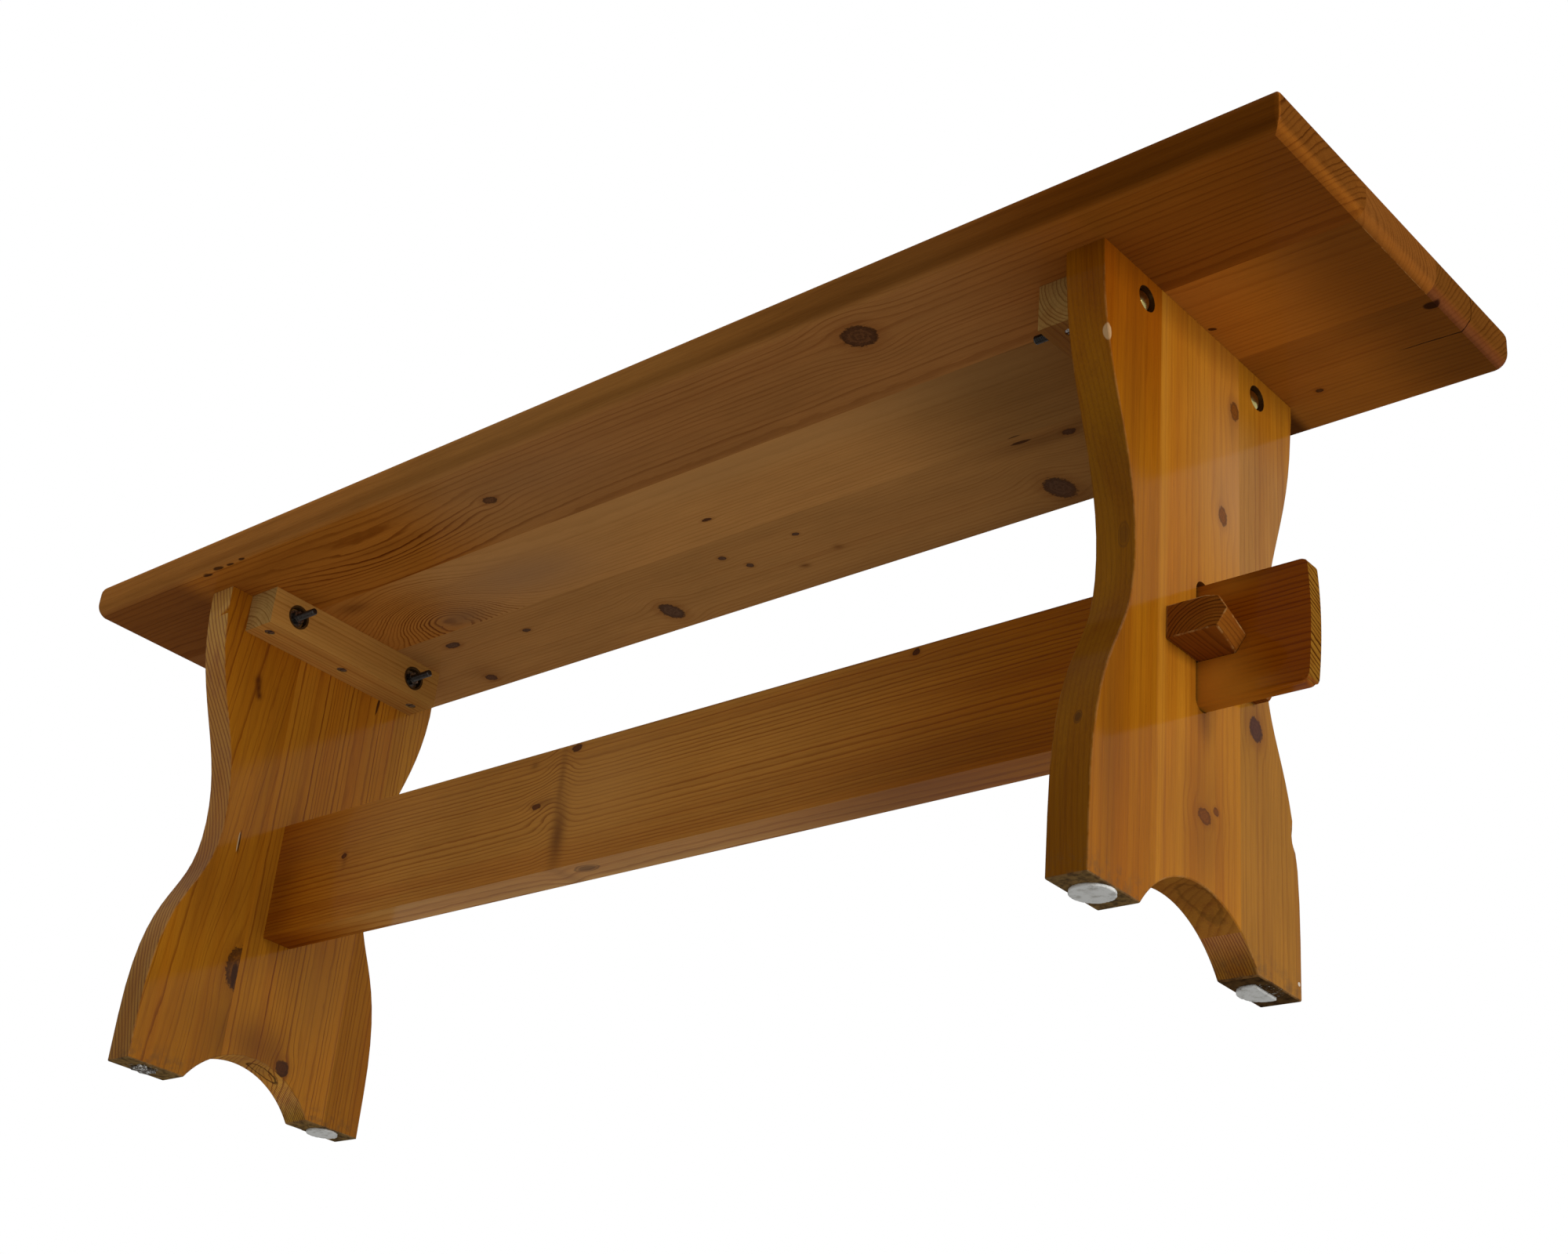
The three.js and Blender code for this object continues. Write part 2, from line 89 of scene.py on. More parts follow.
class Strand:
    def __init__(self, recipe, socket):
        self.recipe, self.socket = recipe, socket

    def __add__(self, other):
        return self.recipe.maths("ADD", self, other)

    def __sub__(self, other):
        return self.recipe.maths("SUBTRACT", self, other)

    def __rsub__(self, other):
        return self.recipe.maths("SUBTRACT", other, self)

    def __mul__(self, other):
        return self.recipe.maths("MULTIPLY", self, other)

    def __truediv__(self, other):
        return self.recipe.maths("DIVIDE", self, other)

    __radd__, __rmul__ = __add__, __mul__


class Recipe:
    def __init__(self, name, holder=None):
        self.finish = holder or bpy.data.materials.new(name)
        self.finish.use_nodes = True
        self.tree = self.finish.node_tree
        self.tree.nodes.clear()

    def node(self, kind, settings=None, sockets=None):
        made = self.tree.nodes.new(kind)
        for key, value in (settings or {}).items():
            setattr(made, key, value)
        for key, value in (sockets or {}).items():
            if isinstance(value, Strand):
                self.tree.links.new(value.socket, made.inputs[key])
            else:
                made.inputs[key].default_value = value
        return made

    def out(self, made, key=0):
        return Strand(self, made.outputs[key])

    def maths(self, operation, *values):
        return self.out(self.node("ShaderNodeMath", {"operation": operation}, dict(enumerate(values))))

    def gather(self, operation, values):  # one value out of many, or None
        found = None
        for value in values:
            found = value if found is None else self.maths(operation, found, value)
        return found

    def vector(self, operation, *values, result=0, scale=None):
        sockets = dict(enumerate(values))
        if scale is not None:
            sockets["Scale"] = scale
        return self.out(self.node("ShaderNodeVectorMath", {"operation": operation}, sockets), result)

    def dot(self, first, second):
        return self.vector("DOT_PRODUCT", first, second, result=1)

    def away(self, place, along, across, halfLong, halfWide):  # from a spot, counted in half sizes
        return self.vector("MULTIPLY_ADD", place, (1 / halfLong, 1 / halfWide, 0),
                           (-along / halfLong, -across / halfWide, 0))

    def mound(self, place, spot, steepness=1):  # 1 at a spot, and fading away from it
        local = self.away(place, *spot)
        return self.maths("EXPONENT", self.dot(local, local) * -steepness)

    def ease(self, value, start, end, low=0, high=1):  # a smooth step from one value to another
        return self.out(self.node("ShaderNodeMapRange", {"interpolation_type": "SMOOTHSTEP"},
                                  {0: value, 1: start, 2: end, 3: low, 4: high}))

    def blend(self, factor, first, second, mode="MIX"):
        def colour(value):
            return value if isinstance(value, Strand) else (*value, 1)
        made = self.node("ShaderNodeMix", {"data_type": "RGBA", "blend_type": mode},
                         {0: factor, 6: colour(first), 7: colour(second)})
        return self.out(made, 2)

    def speckle(self, place, scale, detail, roughness, colour=False):  # scale: a number, or one for each axis
        drawn = (self.vector("MULTIPLY", place, scale) if isinstance(scale, tuple)
                 else self.vector("SCALE", place, scale=scale))
        made = self.node("ShaderNodeTexNoise", None,
                         {"Vector": drawn, "Scale": 1, "Detail": detail, "Roughness": roughness})
        return self.out(made, "Color" if colour else "Fac")

    def place(self):  # the point on the piece, in millimetres
        spot = self.out(self.node("ShaderNodeTexCoord"), "Object")
        return self.vector("SCALE", spot, scale=1 / mm)

    def split(self, vector):
        made = self.node("ShaderNodeSeparateXYZ", None, {0: vector})
        return [self.out(made, key) for key in range(3)]

    def join(self, *values):
        return self.out(self.node("ShaderNodeCombineXYZ", None, dict(enumerate(values))))

    def surface(self, sockets, relief, depth, strength):
        bump = self.node("ShaderNodeBump", None, {"Height": relief, "Distance": depth * mm, "Strength": strength})
        shader = self.node("ShaderNodeBsdfPrincipled", None, {**sockets, "Normal": self.out(bump)})
        self.node("ShaderNodeOutputMaterial", None, {0: self.out(shader)})
        return self.finish


# varnished pine: rings round a pith line, bent round the knots

order = {  # which axes run along, across and into a board
    "x": (0, 1, 2), "z": (2, 1, 0), "y": (1, 0, 2), "yUpright": (1, 2, 0), "xUpright": (0, 2, 1),
}

plainBoard = {  # a spot is along and across the board; its half sizes follow
    "along": "x", "seed": 0, "tone": 1, "early": (0.40, 0.150, 0.009), "late": (0.205, 0.053, 0.003),
    "pith": (0, 30), "lean": (0, 0), "ring": 3.4, "wobble": 4, "lateShare": 0.55, "contrast": 0.8,
    "sideLate": 1, "flankLate": 1, "flank": None,  # slanting rings: spacing, slope, strength
    "streak": 0.35, "bands": 0.5, "endGrain": 0.7, "endLines": 0.5, "endTint": None, "edgeTint": None,
    "knotPale": (0.15, 0.048, 0.010), "knotDark": (0.035, 0.013, 0.006), "rim": 0.75,
    "knots": [],  # spot and half sizes
    "swirls": [],  # the same, then rings and strength
    "stains": [],  # the same, then a turn in degrees
    "shades": [],  # the same, then strength
    "patchesAndLight": [],  # the same, then strength and tone
    "tintAndShadeRamps": [],  # start, end, tint and which faces; some are painted shade or painted light
    "deepEnds": None,  # start and tint
    "recessShade": None,  # painted shade in a bolt's recess: y, z and reach round the bolt; x where the shade starts and ends
    "marks": [],  # two axes, spot, half sizes, the axis faced, shares of the ring and of the core
    "chips": [],  # x, y and z, half sizes and tone
    "scraps": None,  # x, y and reach
    "grime": 0, "soleShade": 1, "gloss": 0.16, "coatRough": 0.12,
    "wear": 0.45, "wornTone": (0.42, 0.20, 0.055), "endWear": None,  # start and how much more
}

wood = {
    "seedStep": 173.0, "spreadStep": 7.3, "spreadScale": 0.045, "spread": 5,  # what sets two boards apart
    "lateFull": 0.93,  # where in a ring its dark wood is darkest
    "shake": 2.6, "ringShake": 0.35, "cutShake": 15, "markShake": 0.5, "chipShake": 0.7, "knotShake": 0.75,
    "knotSpread": 0.16, "knotPush": 0.8, "knotRings": 19, "knotRingShare": 0.35, "knotGritShare": 0.55,
    "endsSoft": 0.6, "recessShadowSoft": (0.4, -0.3), "recessShadowDepthSoft": (0.2, 0.4), "endWearRun": 6, "scrapCore": 0.8,
    "noise": {  # how fast it varies, detail and roughness
        "sway": ((0.0035, 0.014, 0.014), 2, 0.5),
        "jitter": ((0.05, 0.22, 0.22), 2, 0.5),
        "fibre": ((0.035, 1.7, 1.7), 3, 0.6),
        "streak": ((0.004, 0.16, 0.16), 3, 0.6),
        "cloud": ((0.008, 0.026, 0.026), 3, 0.55),
        "band": ((0.0022, 0.055, 0.055), 2, 0.5),
        "canal": ((0.09, 2.6, 2.6), 1, 0.5),
        "spread": (1, 1, 0.5), "pore": (1.5, 2, 0.6), "grit": (0.42, 3, 0.6),
        "patch": (0.16, 4, 0.65), "torn": (0.42, 4, 0.7), "rubbed": (0.07, 4, 0.7),
    },
    "edges": {  # where a soft edge starts and ends
        "lateEnd": (0.94, 1.0, 1, 0), "cutStart": (0.45, 0.85), "cutEnd": (0.88, 1.0, 1, 0),
        "streak": (0.5, 0.78), "band": (0.42, 0.72), "canal": (0.70, 0.78),
        "sideways": (0.55, 0.85), "under": (0.6, 0.9), "endFace": (0.75, 0.95), "turning": (0.25, 0.45),
        "bowed": (0.40, 0.60), "onKnotFace": (0.35, 0.7), "onMarkFace": (0.25, 0.4),
        "knot": (1.14, 0.84), "rimInner": (0.74, 0.96), "rimOuter": (1.18, 1.0), "halo": (2.3, 1.0),
        "stain": (1.25, 0.5), "markInner": (0.78, 0.96), "markOuter": (1.2, 1.02), "markCore": (1.0, 0.6),
        "chip": (1.05, 0.8), "sole": (3.2, 2.4), "scuff": (26, 2), "scuffPatch": (0.42, 0.68),
        "dirt": (0.35, 0.7), "torn": (0.57, 0.62), "rubbed": (0.44, 0.60),
    },
    "tones": {
        "streak": (0.21, 0.055, 0.008), "canal": (0.09, 0.028, 0.006), "halo": (0.20, 0.052, 0.007),
        "stain": (0.045, 0.015, 0.006), "shade": (0.13, 0.036, 0.006), "recessShadow": (0.020, 0.011, 0.006),
        "mark": (0.055, 0.022, 0.007), "scuff": (0.12, 0.062, 0.022), "scrap": (0.42, 0.40, 0.35),
        "dust": (0.24, 0.150, 0.055), "dirt": (0.060, 0.040, 0.022), "arris": (0.10, 0.030, 0.005),
    },
    "tints": {"swirl": (0.50, 0.36, 0.28), "band": (0.80, 0.62, 0.50), "endLine": (0.35, 0.25, 0.20)},
    "shares": {
        "year": 0.75, "swirl": 0.55, "fibre": 0.55, "cloud": 0.34, "canal": 0.35, "pore": 0.25, "halo": 0.30,
        "stain": 0.88, "paleKnot": 0.8, "recessShadow": 0.9, "chip": 0.9, "scuff": 0.5, "arris": 0.25, "arrisWorn": 0.2,
        "sideVarnish": 0.7,
    },
    "rough": {"plain": 0.50, "cloud": 0.25, "late": -0.06, "rubbed": 0.15},
    "relief": {"late": -0.25, "fibre": 0.55, "stain": -2.5, "pore": 0.8, "depth": 0.12, "strength": 0.8},
}


class Pine:
    def __init__(self, name, board):
        look = self.look = {**plainBoard, **board}
        r = self.r = Recipe(name)
        self.spot = r.place()
        self.axes = r.split(self.spot)
        self.lie = order[look["along"]]
        self.along, self.across, self.deep = (self.axes[i] for i in self.lie)
        self.grain = r.join(self.along + look["seed"] * wood["seedStep"], self.across, self.deep)
        self.swayAcross, self.swayDeep = r.split(self.speckle("sway", self.grain, True))[1:]
        jitter = self.speckle("jitter", self.grain, True)
        self.jitter = r.split(jitter)
        shake = wood["shake"]
        moved = r.vector("MULTIPLY_ADD", jitter, (shake, shake, 0), (-shake / 2, -shake / 2, 0))
        self.flat = r.vector("ADD", r.join(self.along, self.across, 0), moved)
        self.normal = r.split(r.out(r.node("ShaderNodeTexCoord"), "Normal"))
        self.sideways = self.edge("sideways", self.facing(1))
        self.endwards = self.facing(self.lie[0])
        self.endFace = self.edge("endFace", self.endwards)

    def facing(self, axis):
        return self.r.maths("ABSOLUTE", self.normal[axis])

    def speckle(self, name, place, colour=False):
        return self.r.speckle(place, *wood["noise"][name], colour)

    def edge(self, name, value):
        return self.r.ease(value, *wood["edges"][name])

    def cover(self, factor, tone):
        self.colour = self.r.blend(factor, self.colour, tone)

    def tint(self, factor, shade):
        self.cover(factor, self.r.blend(1, self.colour, shade, "MULTIPLY"))

    def light(self, strength):
        self.colour = self.r.vector("SCALE", self.colour, scale=strength)

    def growRings(self):
        r, look = self.r, self.look
        squares, push = [], None
        for knot in look["knots"]:  # knots push the rings aside
            local = r.away(self.flat, *knot)
            squares.append(r.dot(local, local))
            near = r.maths("EXPONENT", squares[-1] * -wood["knotSpread"])
            shove = r.vector("SCALE", local, scale=near * (wood["knotPush"] * knot[3]))
            push = shove if push is None else r.vector("ADD", push, shove)
        self.nearest = r.gather("MINIMUM", squares)
        bent = self.across - r.split(push)[1] if push else self.across

        (pithAcross, pithDeep), (leanAcross, leanDeep), wobble = look["pith"], look["lean"], look["wobble"]
        aside = bent - pithAcross - self.along * leanAcross + (self.swayAcross - 0.5) * wobble * 2
        below = self.deep - pithDeep - self.along * leanDeep + (self.swayDeep - 0.5) * wobble * 2
        radius = r.maths("SQRT", aside * aside + below * below)
        outward = r.join(radius * wood["spreadScale"], look["seed"] * wood["spreadStep"], 0)
        uneven = self.speckle("spread", outward)
        phase = radius / look["ring"] + uneven * wood["spread"] + (self.jitter[2] - 0.5) * wood["ringShake"]
        contrast, hills = look["contrast"], []
        for *swirl, rings, strength in look["swirls"]:  # nested arcs
            hills.append(r.mound(self.flat, swirl))
            phase = phase + hills[-1] * rings
            contrast = hills[-1] * strength + contrast
        self.swirled = r.gather("ADD", hills)

        part = r.maths("FRACT", phase)
        late = r.ease(part, 1 - look["lateShare"], wood["lateFull"]) * self.edge("lateEnd", part)
        chance = r.node("ShaderNodeTexWhiteNoise", {"noise_dimensions": "1D"}, {"W": r.maths("FLOOR", phase)})
        late = late * (r.out(chance) * wood["shares"]["year"] + (1 - wood["shares"]["year"])) * contrast
        late = late * (1 - self.sideways * (1 - look["sideLate"]))
        if look["flank"]:  # a bowed flank cuts the rings at a slant
            spacing, slope, strength = look["flank"]
            swayed = self.deep + self.along * slope + (self.swayDeep - 0.5) * wood["cutShake"]
            cut = r.maths("FRACT", swayed / spacing)
            bowed = self.edge("bowed", self.facing(1))
            late = (late * (1 - bowed * (1 - look["flankLate"]))
                    + self.edge("cutStart", cut) * self.edge("cutEnd", cut) * strength * bowed)
        self.late = late

    def colourWood(self):  # fibres, long streaks and a cloudy varnish
        r, look = self.r, self.look
        tones, tints, shares = wood["tones"], wood["tints"], wood["shares"]
        self.fibre, streak, self.cloud, band, canal = (
            self.speckle(name, self.grain) for name in ("fibre", "streak", "cloud", "band", "canal"))
        self.colour = r.blend(self.late, look["early"], look["late"])
        if self.swirled:
            self.tint(self.late * self.swirled * shares["swirl"], tints["swirl"])
        self.cover(self.edge("streak", streak) * look["streak"], tones["streak"])
        self.tint(self.edge("band", band) * look["bands"], tints["band"])
        self.light((self.fibre - 0.5) * shares["fibre"] + (self.cloud - 0.5) * shares["cloud"] + look["tone"])
        self.cover(self.edge("canal", canal) * shares["canal"], tones["canal"])
        self.pores = self.speckle("pore", self.grain)  # end grain drinks more varnish
        self.light(1 - self.endFace * (1 - look["endGrain"]) - self.endFace * self.pores * shares["pore"])
        self.tint(self.endFace * self.late * look["endLines"], tints["endLine"])
        if look["endTint"]:
            self.tint(self.endFace, look["endTint"])

    def colourKnots(self):
        r, look = self.r, self.look
        self.knotted = None
        if not self.nearest:
            return
        grit = self.speckle("grit", self.flat)
        reach = r.maths("SQRT", self.nearest) + (grit - 0.5) * wood["knotShake"]
        onFace = self.edge("onKnotFace", self.facing(self.lie[2]))
        rings = r.maths("SINE", reach * wood["knotRings"]) * 0.5 + 0.5
        core = r.blend(rings * wood["knotRingShare"] + grit * wood["knotGritShare"],
                       look["knotPale"], look["knotDark"])
        self.cover(self.edge("halo", reach) * onFace * wood["shares"]["halo"], wood["tones"]["halo"])
        self.knotted = self.edge("knot", reach) * onFace
        self.cover(self.knotted, core)
        rim = self.edge("rimInner", reach) * self.edge("rimOuter", reach)
        self.cover(rim * onFace * look["rim"], look["knotDark"])

    def addStains(self):
        r, stains = self.r, []
        for along, across, halfLong, halfWide, turn in self.look["stains"]:
            away = r.vector("ADD", self.flat, (-along, -across, 0))
            c, s = math.cos(math.radians(turn)), math.sin(math.radians(turn))
            forth = r.dot(away, (c / halfLong, s / halfLong, 0))
            side = r.dot(away, (-s / halfWide, c / halfWide, 0))
            stains.append(self.edge("stain", forth * forth + side * side))
        self.stained = r.gather("MAXIMUM", stains)
        if self.stained:
            self.cover(self.stained * wood["shares"]["stain"], wood["tones"]["stain"])
        for *spot, strength in self.look["shades"]:
            self.cover(r.mound(self.flat, spot) * strength, wood["tones"]["shade"])

    def changeTones(self):
        r, look = self.r, self.look
        if look["deepEnds"]:  # the part that stands outside has kept a deeper stain
            start, tint = look["deepEnds"]
            reach, soft = r.maths("ABSOLUTE", self.along), wood["endsSoft"]
            self.tint(r.ease(reach, start - soft, start + soft), tint)
        if look["edgeTint"]:  # the sawn edges took the stain differently
            self.tint(self.sideways, look["edgeTint"])
        faces = {
            "down": self.edge("under", self.normal[2] * -1), "side": self.sideways,
            "turn": self.edge("turning", self.endwards) * (1 - self.endFace),
        }
        for start, end, tint, which in look["tintAndShadeRamps"]:  # another tone towards one end; on some parts this is painted shade or painted light
            far = r.ease(self.along, start, end)
            self.tint(far if which == "all" else far * faces[which], tint)
        for *spot, strength, tone in look["patchesAndLight"]:  # lighter, duller or darker patches; on the stretcher's right tenon they are painted light
            soft = r.mound(self.flat, spot)
            if self.knotted:
                soft = soft * (1 - self.knotted * wood["shares"]["paleKnot"])
            self.cover(soft * strength, tone)

    def addMarks(self):
        r, look, axes = self.r, self.look, self.axes
        if look["recessShade"]:  # painted shade round the bolts, inside their recesses
            (y, z, reach), (faceX, backX) = look["recessShade"]
            out, up = r.maths("ABSOLUTE", axes[1]) - y, axes[2] - z
            hole = r.ease(r.maths("SQRT", out * out + up * up), *(reach + more for more in wood["recessShadowSoft"]))
            depth = r.maths("ABSOLUTE", axes[0])
            before, past = wood["recessShadowDepthSoft"]
            hole = hole * r.ease(depth, faceX - before, faceX + past)
            hole = hole * r.ease(depth, backX + before, backX - past)
            self.cover(hole * wood["shares"]["recessShadow"], wood["tones"]["recessShadow"])
        for (first, second), (a, b), (halfA, halfB), faced, ringShare, coreShare in look["marks"]:
            da, db = (axes[first] - a) / halfA, (axes[second] - b) / halfB  # knots on narrow faces
            away = r.maths("SQRT", da * da + db * db) + (self.jitter[0] - 0.5) * wood["markShake"]
            there = self.edge("onMarkFace", self.facing(faced))
            ring = self.edge("markInner", away) * self.edge("markOuter", away) * ringShare
            core = self.edge("markCore", away) * coreShare
            self.cover(r.maths("MAXIMUM", ring, core) * there, wood["tones"]["mark"])
        for middle, halves, tone in look["chips"]:  # bare wood where a splinter broke off
            away = r.vector("SUBTRACT", self.spot, middle)
            away = r.vector("MULTIPLY", away, tuple(1 / half for half in halves))
            bare = r.maths("SQRT", r.dot(away, away)) + (self.jitter[1] - 0.5) * wood["chipShake"]
            self.cover(self.edge("chip", bare) * wood["shares"]["chip"], tone)

    def dirtyFeet(self):
        r, look, tones = self.r, self.look, wood["tones"]
        sole = self.edge("sole", self.along)
        if look["grime"]:  # dirt from the floor
            patch = self.speckle("patch", self.grain)
            scuffed = self.edge("scuff", self.along) * self.edge("scuffPatch", patch)
            soleTone = r.blend(self.edge("dirt", patch), tones["dust"], tones["dirt"])
            soleTone = r.vector("SCALE", soleTone, scale=look["soleShade"])
            self.cover(scuffed * wood["shares"]["scuff"], tones["scuff"])
            self.cover(sole * look["grime"], soleTone)
        if look["scraps"]:  # glue and felt left where a pad tore away
            x, y, reach = look["scraps"]
            dx, dy = self.axes[0] - x, self.axes[1] - y
            near = r.ease(r.maths("SQRT", dx * dx + dy * dy), reach, reach * wood["scrapCore"])
            torn = self.edge("torn", self.speckle("torn", self.spot))
            self.cover(near * torn * sole, tones["scrap"])

    def rubArrises(self):
        r, look, shares = self.r, self.look, wood["shares"]
        worn = r.out(r.node("ShaderNodeAttribute", {"attribute_name": "wear"}), "Fac")
        rub = look["wear"]
        if look["endWear"]:
            start, more = look["endWear"]
            rub = r.ease(r.maths("ABSOLUTE", self.along), start, start + wood["endWearRun"]) * more + rub
        self.rubbed = worn * self.edge("rubbed", self.speckle("rubbed", self.spot)) * rub
        self.cover(worn * (shares["arris"] - shares["arrisWorn"] * look["wear"]), wood["tones"]["arris"])
        self.cover(self.rubbed, look["wornTone"])

    def finish(self):
        r, look, v, high = self.r, self.look, wood["rough"], wood["relief"]
        rough = (self.cloud - 0.5) * v["cloud"] + v["plain"] + self.late * v["late"] + self.rubbed * v["rubbed"]
        stain = self.stained * high["stain"] if self.stained else 0
        relief = self.late * high["late"] + self.fibre * high["fibre"] + stain
        relief = relief + self.pores * self.endFace * high["pore"]
        varnish = 1 - r.maths("MAXIMUM", self.sideways * wood["shares"]["sideVarnish"], self.endFace)
        sockets = {"Base Color": self.colour, "Roughness": rough, "Coat Weight": varnish * look["gloss"],
                   "Coat Roughness": look["coatRough"], "Specular IOR Level": 0.0}
        return r.surface(sockets, relief, high["depth"], high["strength"])


def pine(name, shared, board):
    tintAndShadeRamps = [*shared.get("tintAndShadeRamps", []), *board.get("tintAndShadeRamps", [])]
    made = Pine(name, {**shared, **board, "tintAndShadeRamps": tintAndShadeRamps})
    made.growRings()
    made.colourWood()
    made.colourKnots()
    made.addStains()
    made.changeTones()
    made.addMarks()
    made.dirtyFeet()
    made.rubArrises()
    return made.finish()


# boards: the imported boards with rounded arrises

boardValues = {
    "arris": 1.1, "joineryArris": 0.4, "segments": 3, "outerWear": 1, "joineryWear": 0.35,
    "turnAngle": 0.6, "sharpAngle": 0.75, "flatAngle": 0.003, "merge": 1e-6, "onPlane": 1e-7,
    "glueReach": 0.2, "glueEdge": 0.05, "roundShares": (1, 0.8, 0.6, 0.4, 0.2),
    "knockShares": (0, 0.18, 0.5, 0.82, 1), "knockRim": 0.01, "knockFoot": 0.3, "knockFootShare": 0.75,
    "facingGlue": 0.99, "closeTo": 1e-3,  # a normal's share; how near counts as on a line
}
anywhere = (-1, 2000)  # for a box that is open on an axis


def everything(mesh):
    return mesh.verts[:] + mesh.edges[:] + mesh.faces[:]


def mergedCopy(node):  # a CAD solid's loose triangles as whole faces
    mesh = bmesh.new()
    mesh.from_mesh(nodes[node].data)
    bmesh.ops.remove_doubles(mesh, verts=mesh.verts, dist=boardValues["merge"])
    bmesh.ops.dissolve_limit(mesh, angle_limit=boardValues["flatAngle"], verts=mesh.verts, edges=mesh.edges)
    return mesh


def cutAcross(mesh, geometry, axis, place):
    spot, facing = Vector(), Vector()
    spot[axis], facing[axis] = place * mm, 1
    bmesh.ops.bisect_plane(mesh, geom=geometry, plane_co=spot, plane_no=facing, dist=boardValues["onPlane"])


def knock(mesh, low, high, outermost, deep):  # a dent in a back flank, less deep in its lower part
    v = boardValues
    for share in v["knockShares"]:
        cutAcross(mesh, everything(mesh), 2, low + (high - low) * share)
    for vert in mesh.verts:
        up = (vert.co.z / mm - low) / (high - low)
        if v["knockRim"] < up < 1 - v["knockRim"] and vert.co.y / mm > outermost:
            vert.co.y -= deep * mm * (v["knockFootShare"] if up < v["knockFoot"] else 1)


def roundOff(mesh, axis, end, corners):  # the corners of a board's ends, seen across an axis
    for side, edge, inward, radius in corners:
        if not any(abs(v.co[axis] / mm - edge) < radius for v in mesh.verts):
            continue  # another board's corner
        start = end - radius
        for share in boardValues["roundShares"]:
            cutAcross(mesh, everything(mesh), 0, (end - radius * share) * side)
        for share in boardValues["roundShares"]:
            near = [f for f in mesh.faces if f.calc_center_median().x * side / mm > start]
            parts = near + list({e for f in near for e in f.edges}) + list({v for f in near for v in f.verts})
            cutAcross(mesh, parts, axis, edge + radius * share * inward)
        for vert in mesh.verts:
            out = vert.co.x * side / mm - start
            up = radius - (vert.co[axis] / mm - edge) * inward
            if out > boardValues["closeTo"] and up > boardValues["closeTo"]:
                scale = max(out, up) / math.hypot(out, up)
                vert.co.x = (start + out * scale) * side * mm
                vert.co[axis] = (edge + inward * (radius - up * scale)) * mm


def inBoxes(spot, boxes):  # x and y are taken from the middle of the bench
    sizes = (abs(spot.x) / mm, abs(spot.y) / mm, spot.z / mm)
    return any(all(low < size < high for size, (low, high) in zip(sizes, box)) for box in boxes)


def boardFrom(node, body, finish, glue=(), joinery=(), arris=boardValues["arris"], corners=None, dent=None):
    # glue: y of the glued faces, which keep their edges; joinery: boxes in which the edges are finer
    # corners: what roundOff takes; dent: what knock takes
    v = boardValues
    mesh = mergedCopy(node)
    wear = mesh.loops.layers.float.new("wear")
    if dent:
        knock(mesh, *dent)
    if corners:
        roundOff(mesh, *corners)

    def glued(face):
        middle = face.calc_center_median().y / mm
        return abs(face.normal.y) > v["facingGlue"] and any(abs(middle - y) < v["glueReach"] for y in glue)

    turned = [e for e in mesh.edges if len(e.link_faces) == 2
              and e.calc_face_angle(0) > v["turnAngle"] and not any(map(glued, e.link_faces))]
    small = [e for e in turned if all(inBoxes(vert.co, joinery) for vert in e.verts)]
    outer = [e for e in turned if e not in set(small)]
    for edges, width, worn in ((outer, arris, v["outerWear"]), (small, v["joineryArris"], v["joineryWear"])):
        live = [e for e in edges if e.is_valid]
        if live:
            made = bmesh.ops.bevel(mesh, geom=live, offset=width * mm, offset_type="OFFSET", affect="EDGES",
                                   segments=v["segments"], profile=0.5, material=-1, clamp_overlap=True)
            for face in made["faces"]:
                for loop in face.loops:
                    loop[wear] = worn
    finishPiece(mesh, node, body, [finish], v["sharpAngle"], True, glue)


def finishPiece(mesh, node, body, finishes, sharp, weighted=False, glue=()):
    name = node + "_dressed"
    data = bpy.data.meshes.new(name)
    mesh.to_mesh(data)
    mesh.free()
    for finish in finishes:
        data.materials.append(finish)
    data.polygons.foreach_set("use_smooth", [True] * len(data.polygons))
    data.set_sharp_from_angle(angle=sharp)
    for edge in data.edges:
        ends = [data.vertices[i].co.y / mm for i in edge.vertices]
        if any(all(abs(end - y) < boardValues["glueEdge"] for end in ends) for y in glue):
            edge.use_edge_sharp = True
    piece = addObject(name, data)
    if weighted:
        piece.modifiers.new("even shading", "WEIGHTED_NORMAL").keep_sharp = True
    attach(piece, body)
    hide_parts(node)


# seat: three boards glued edge to edge

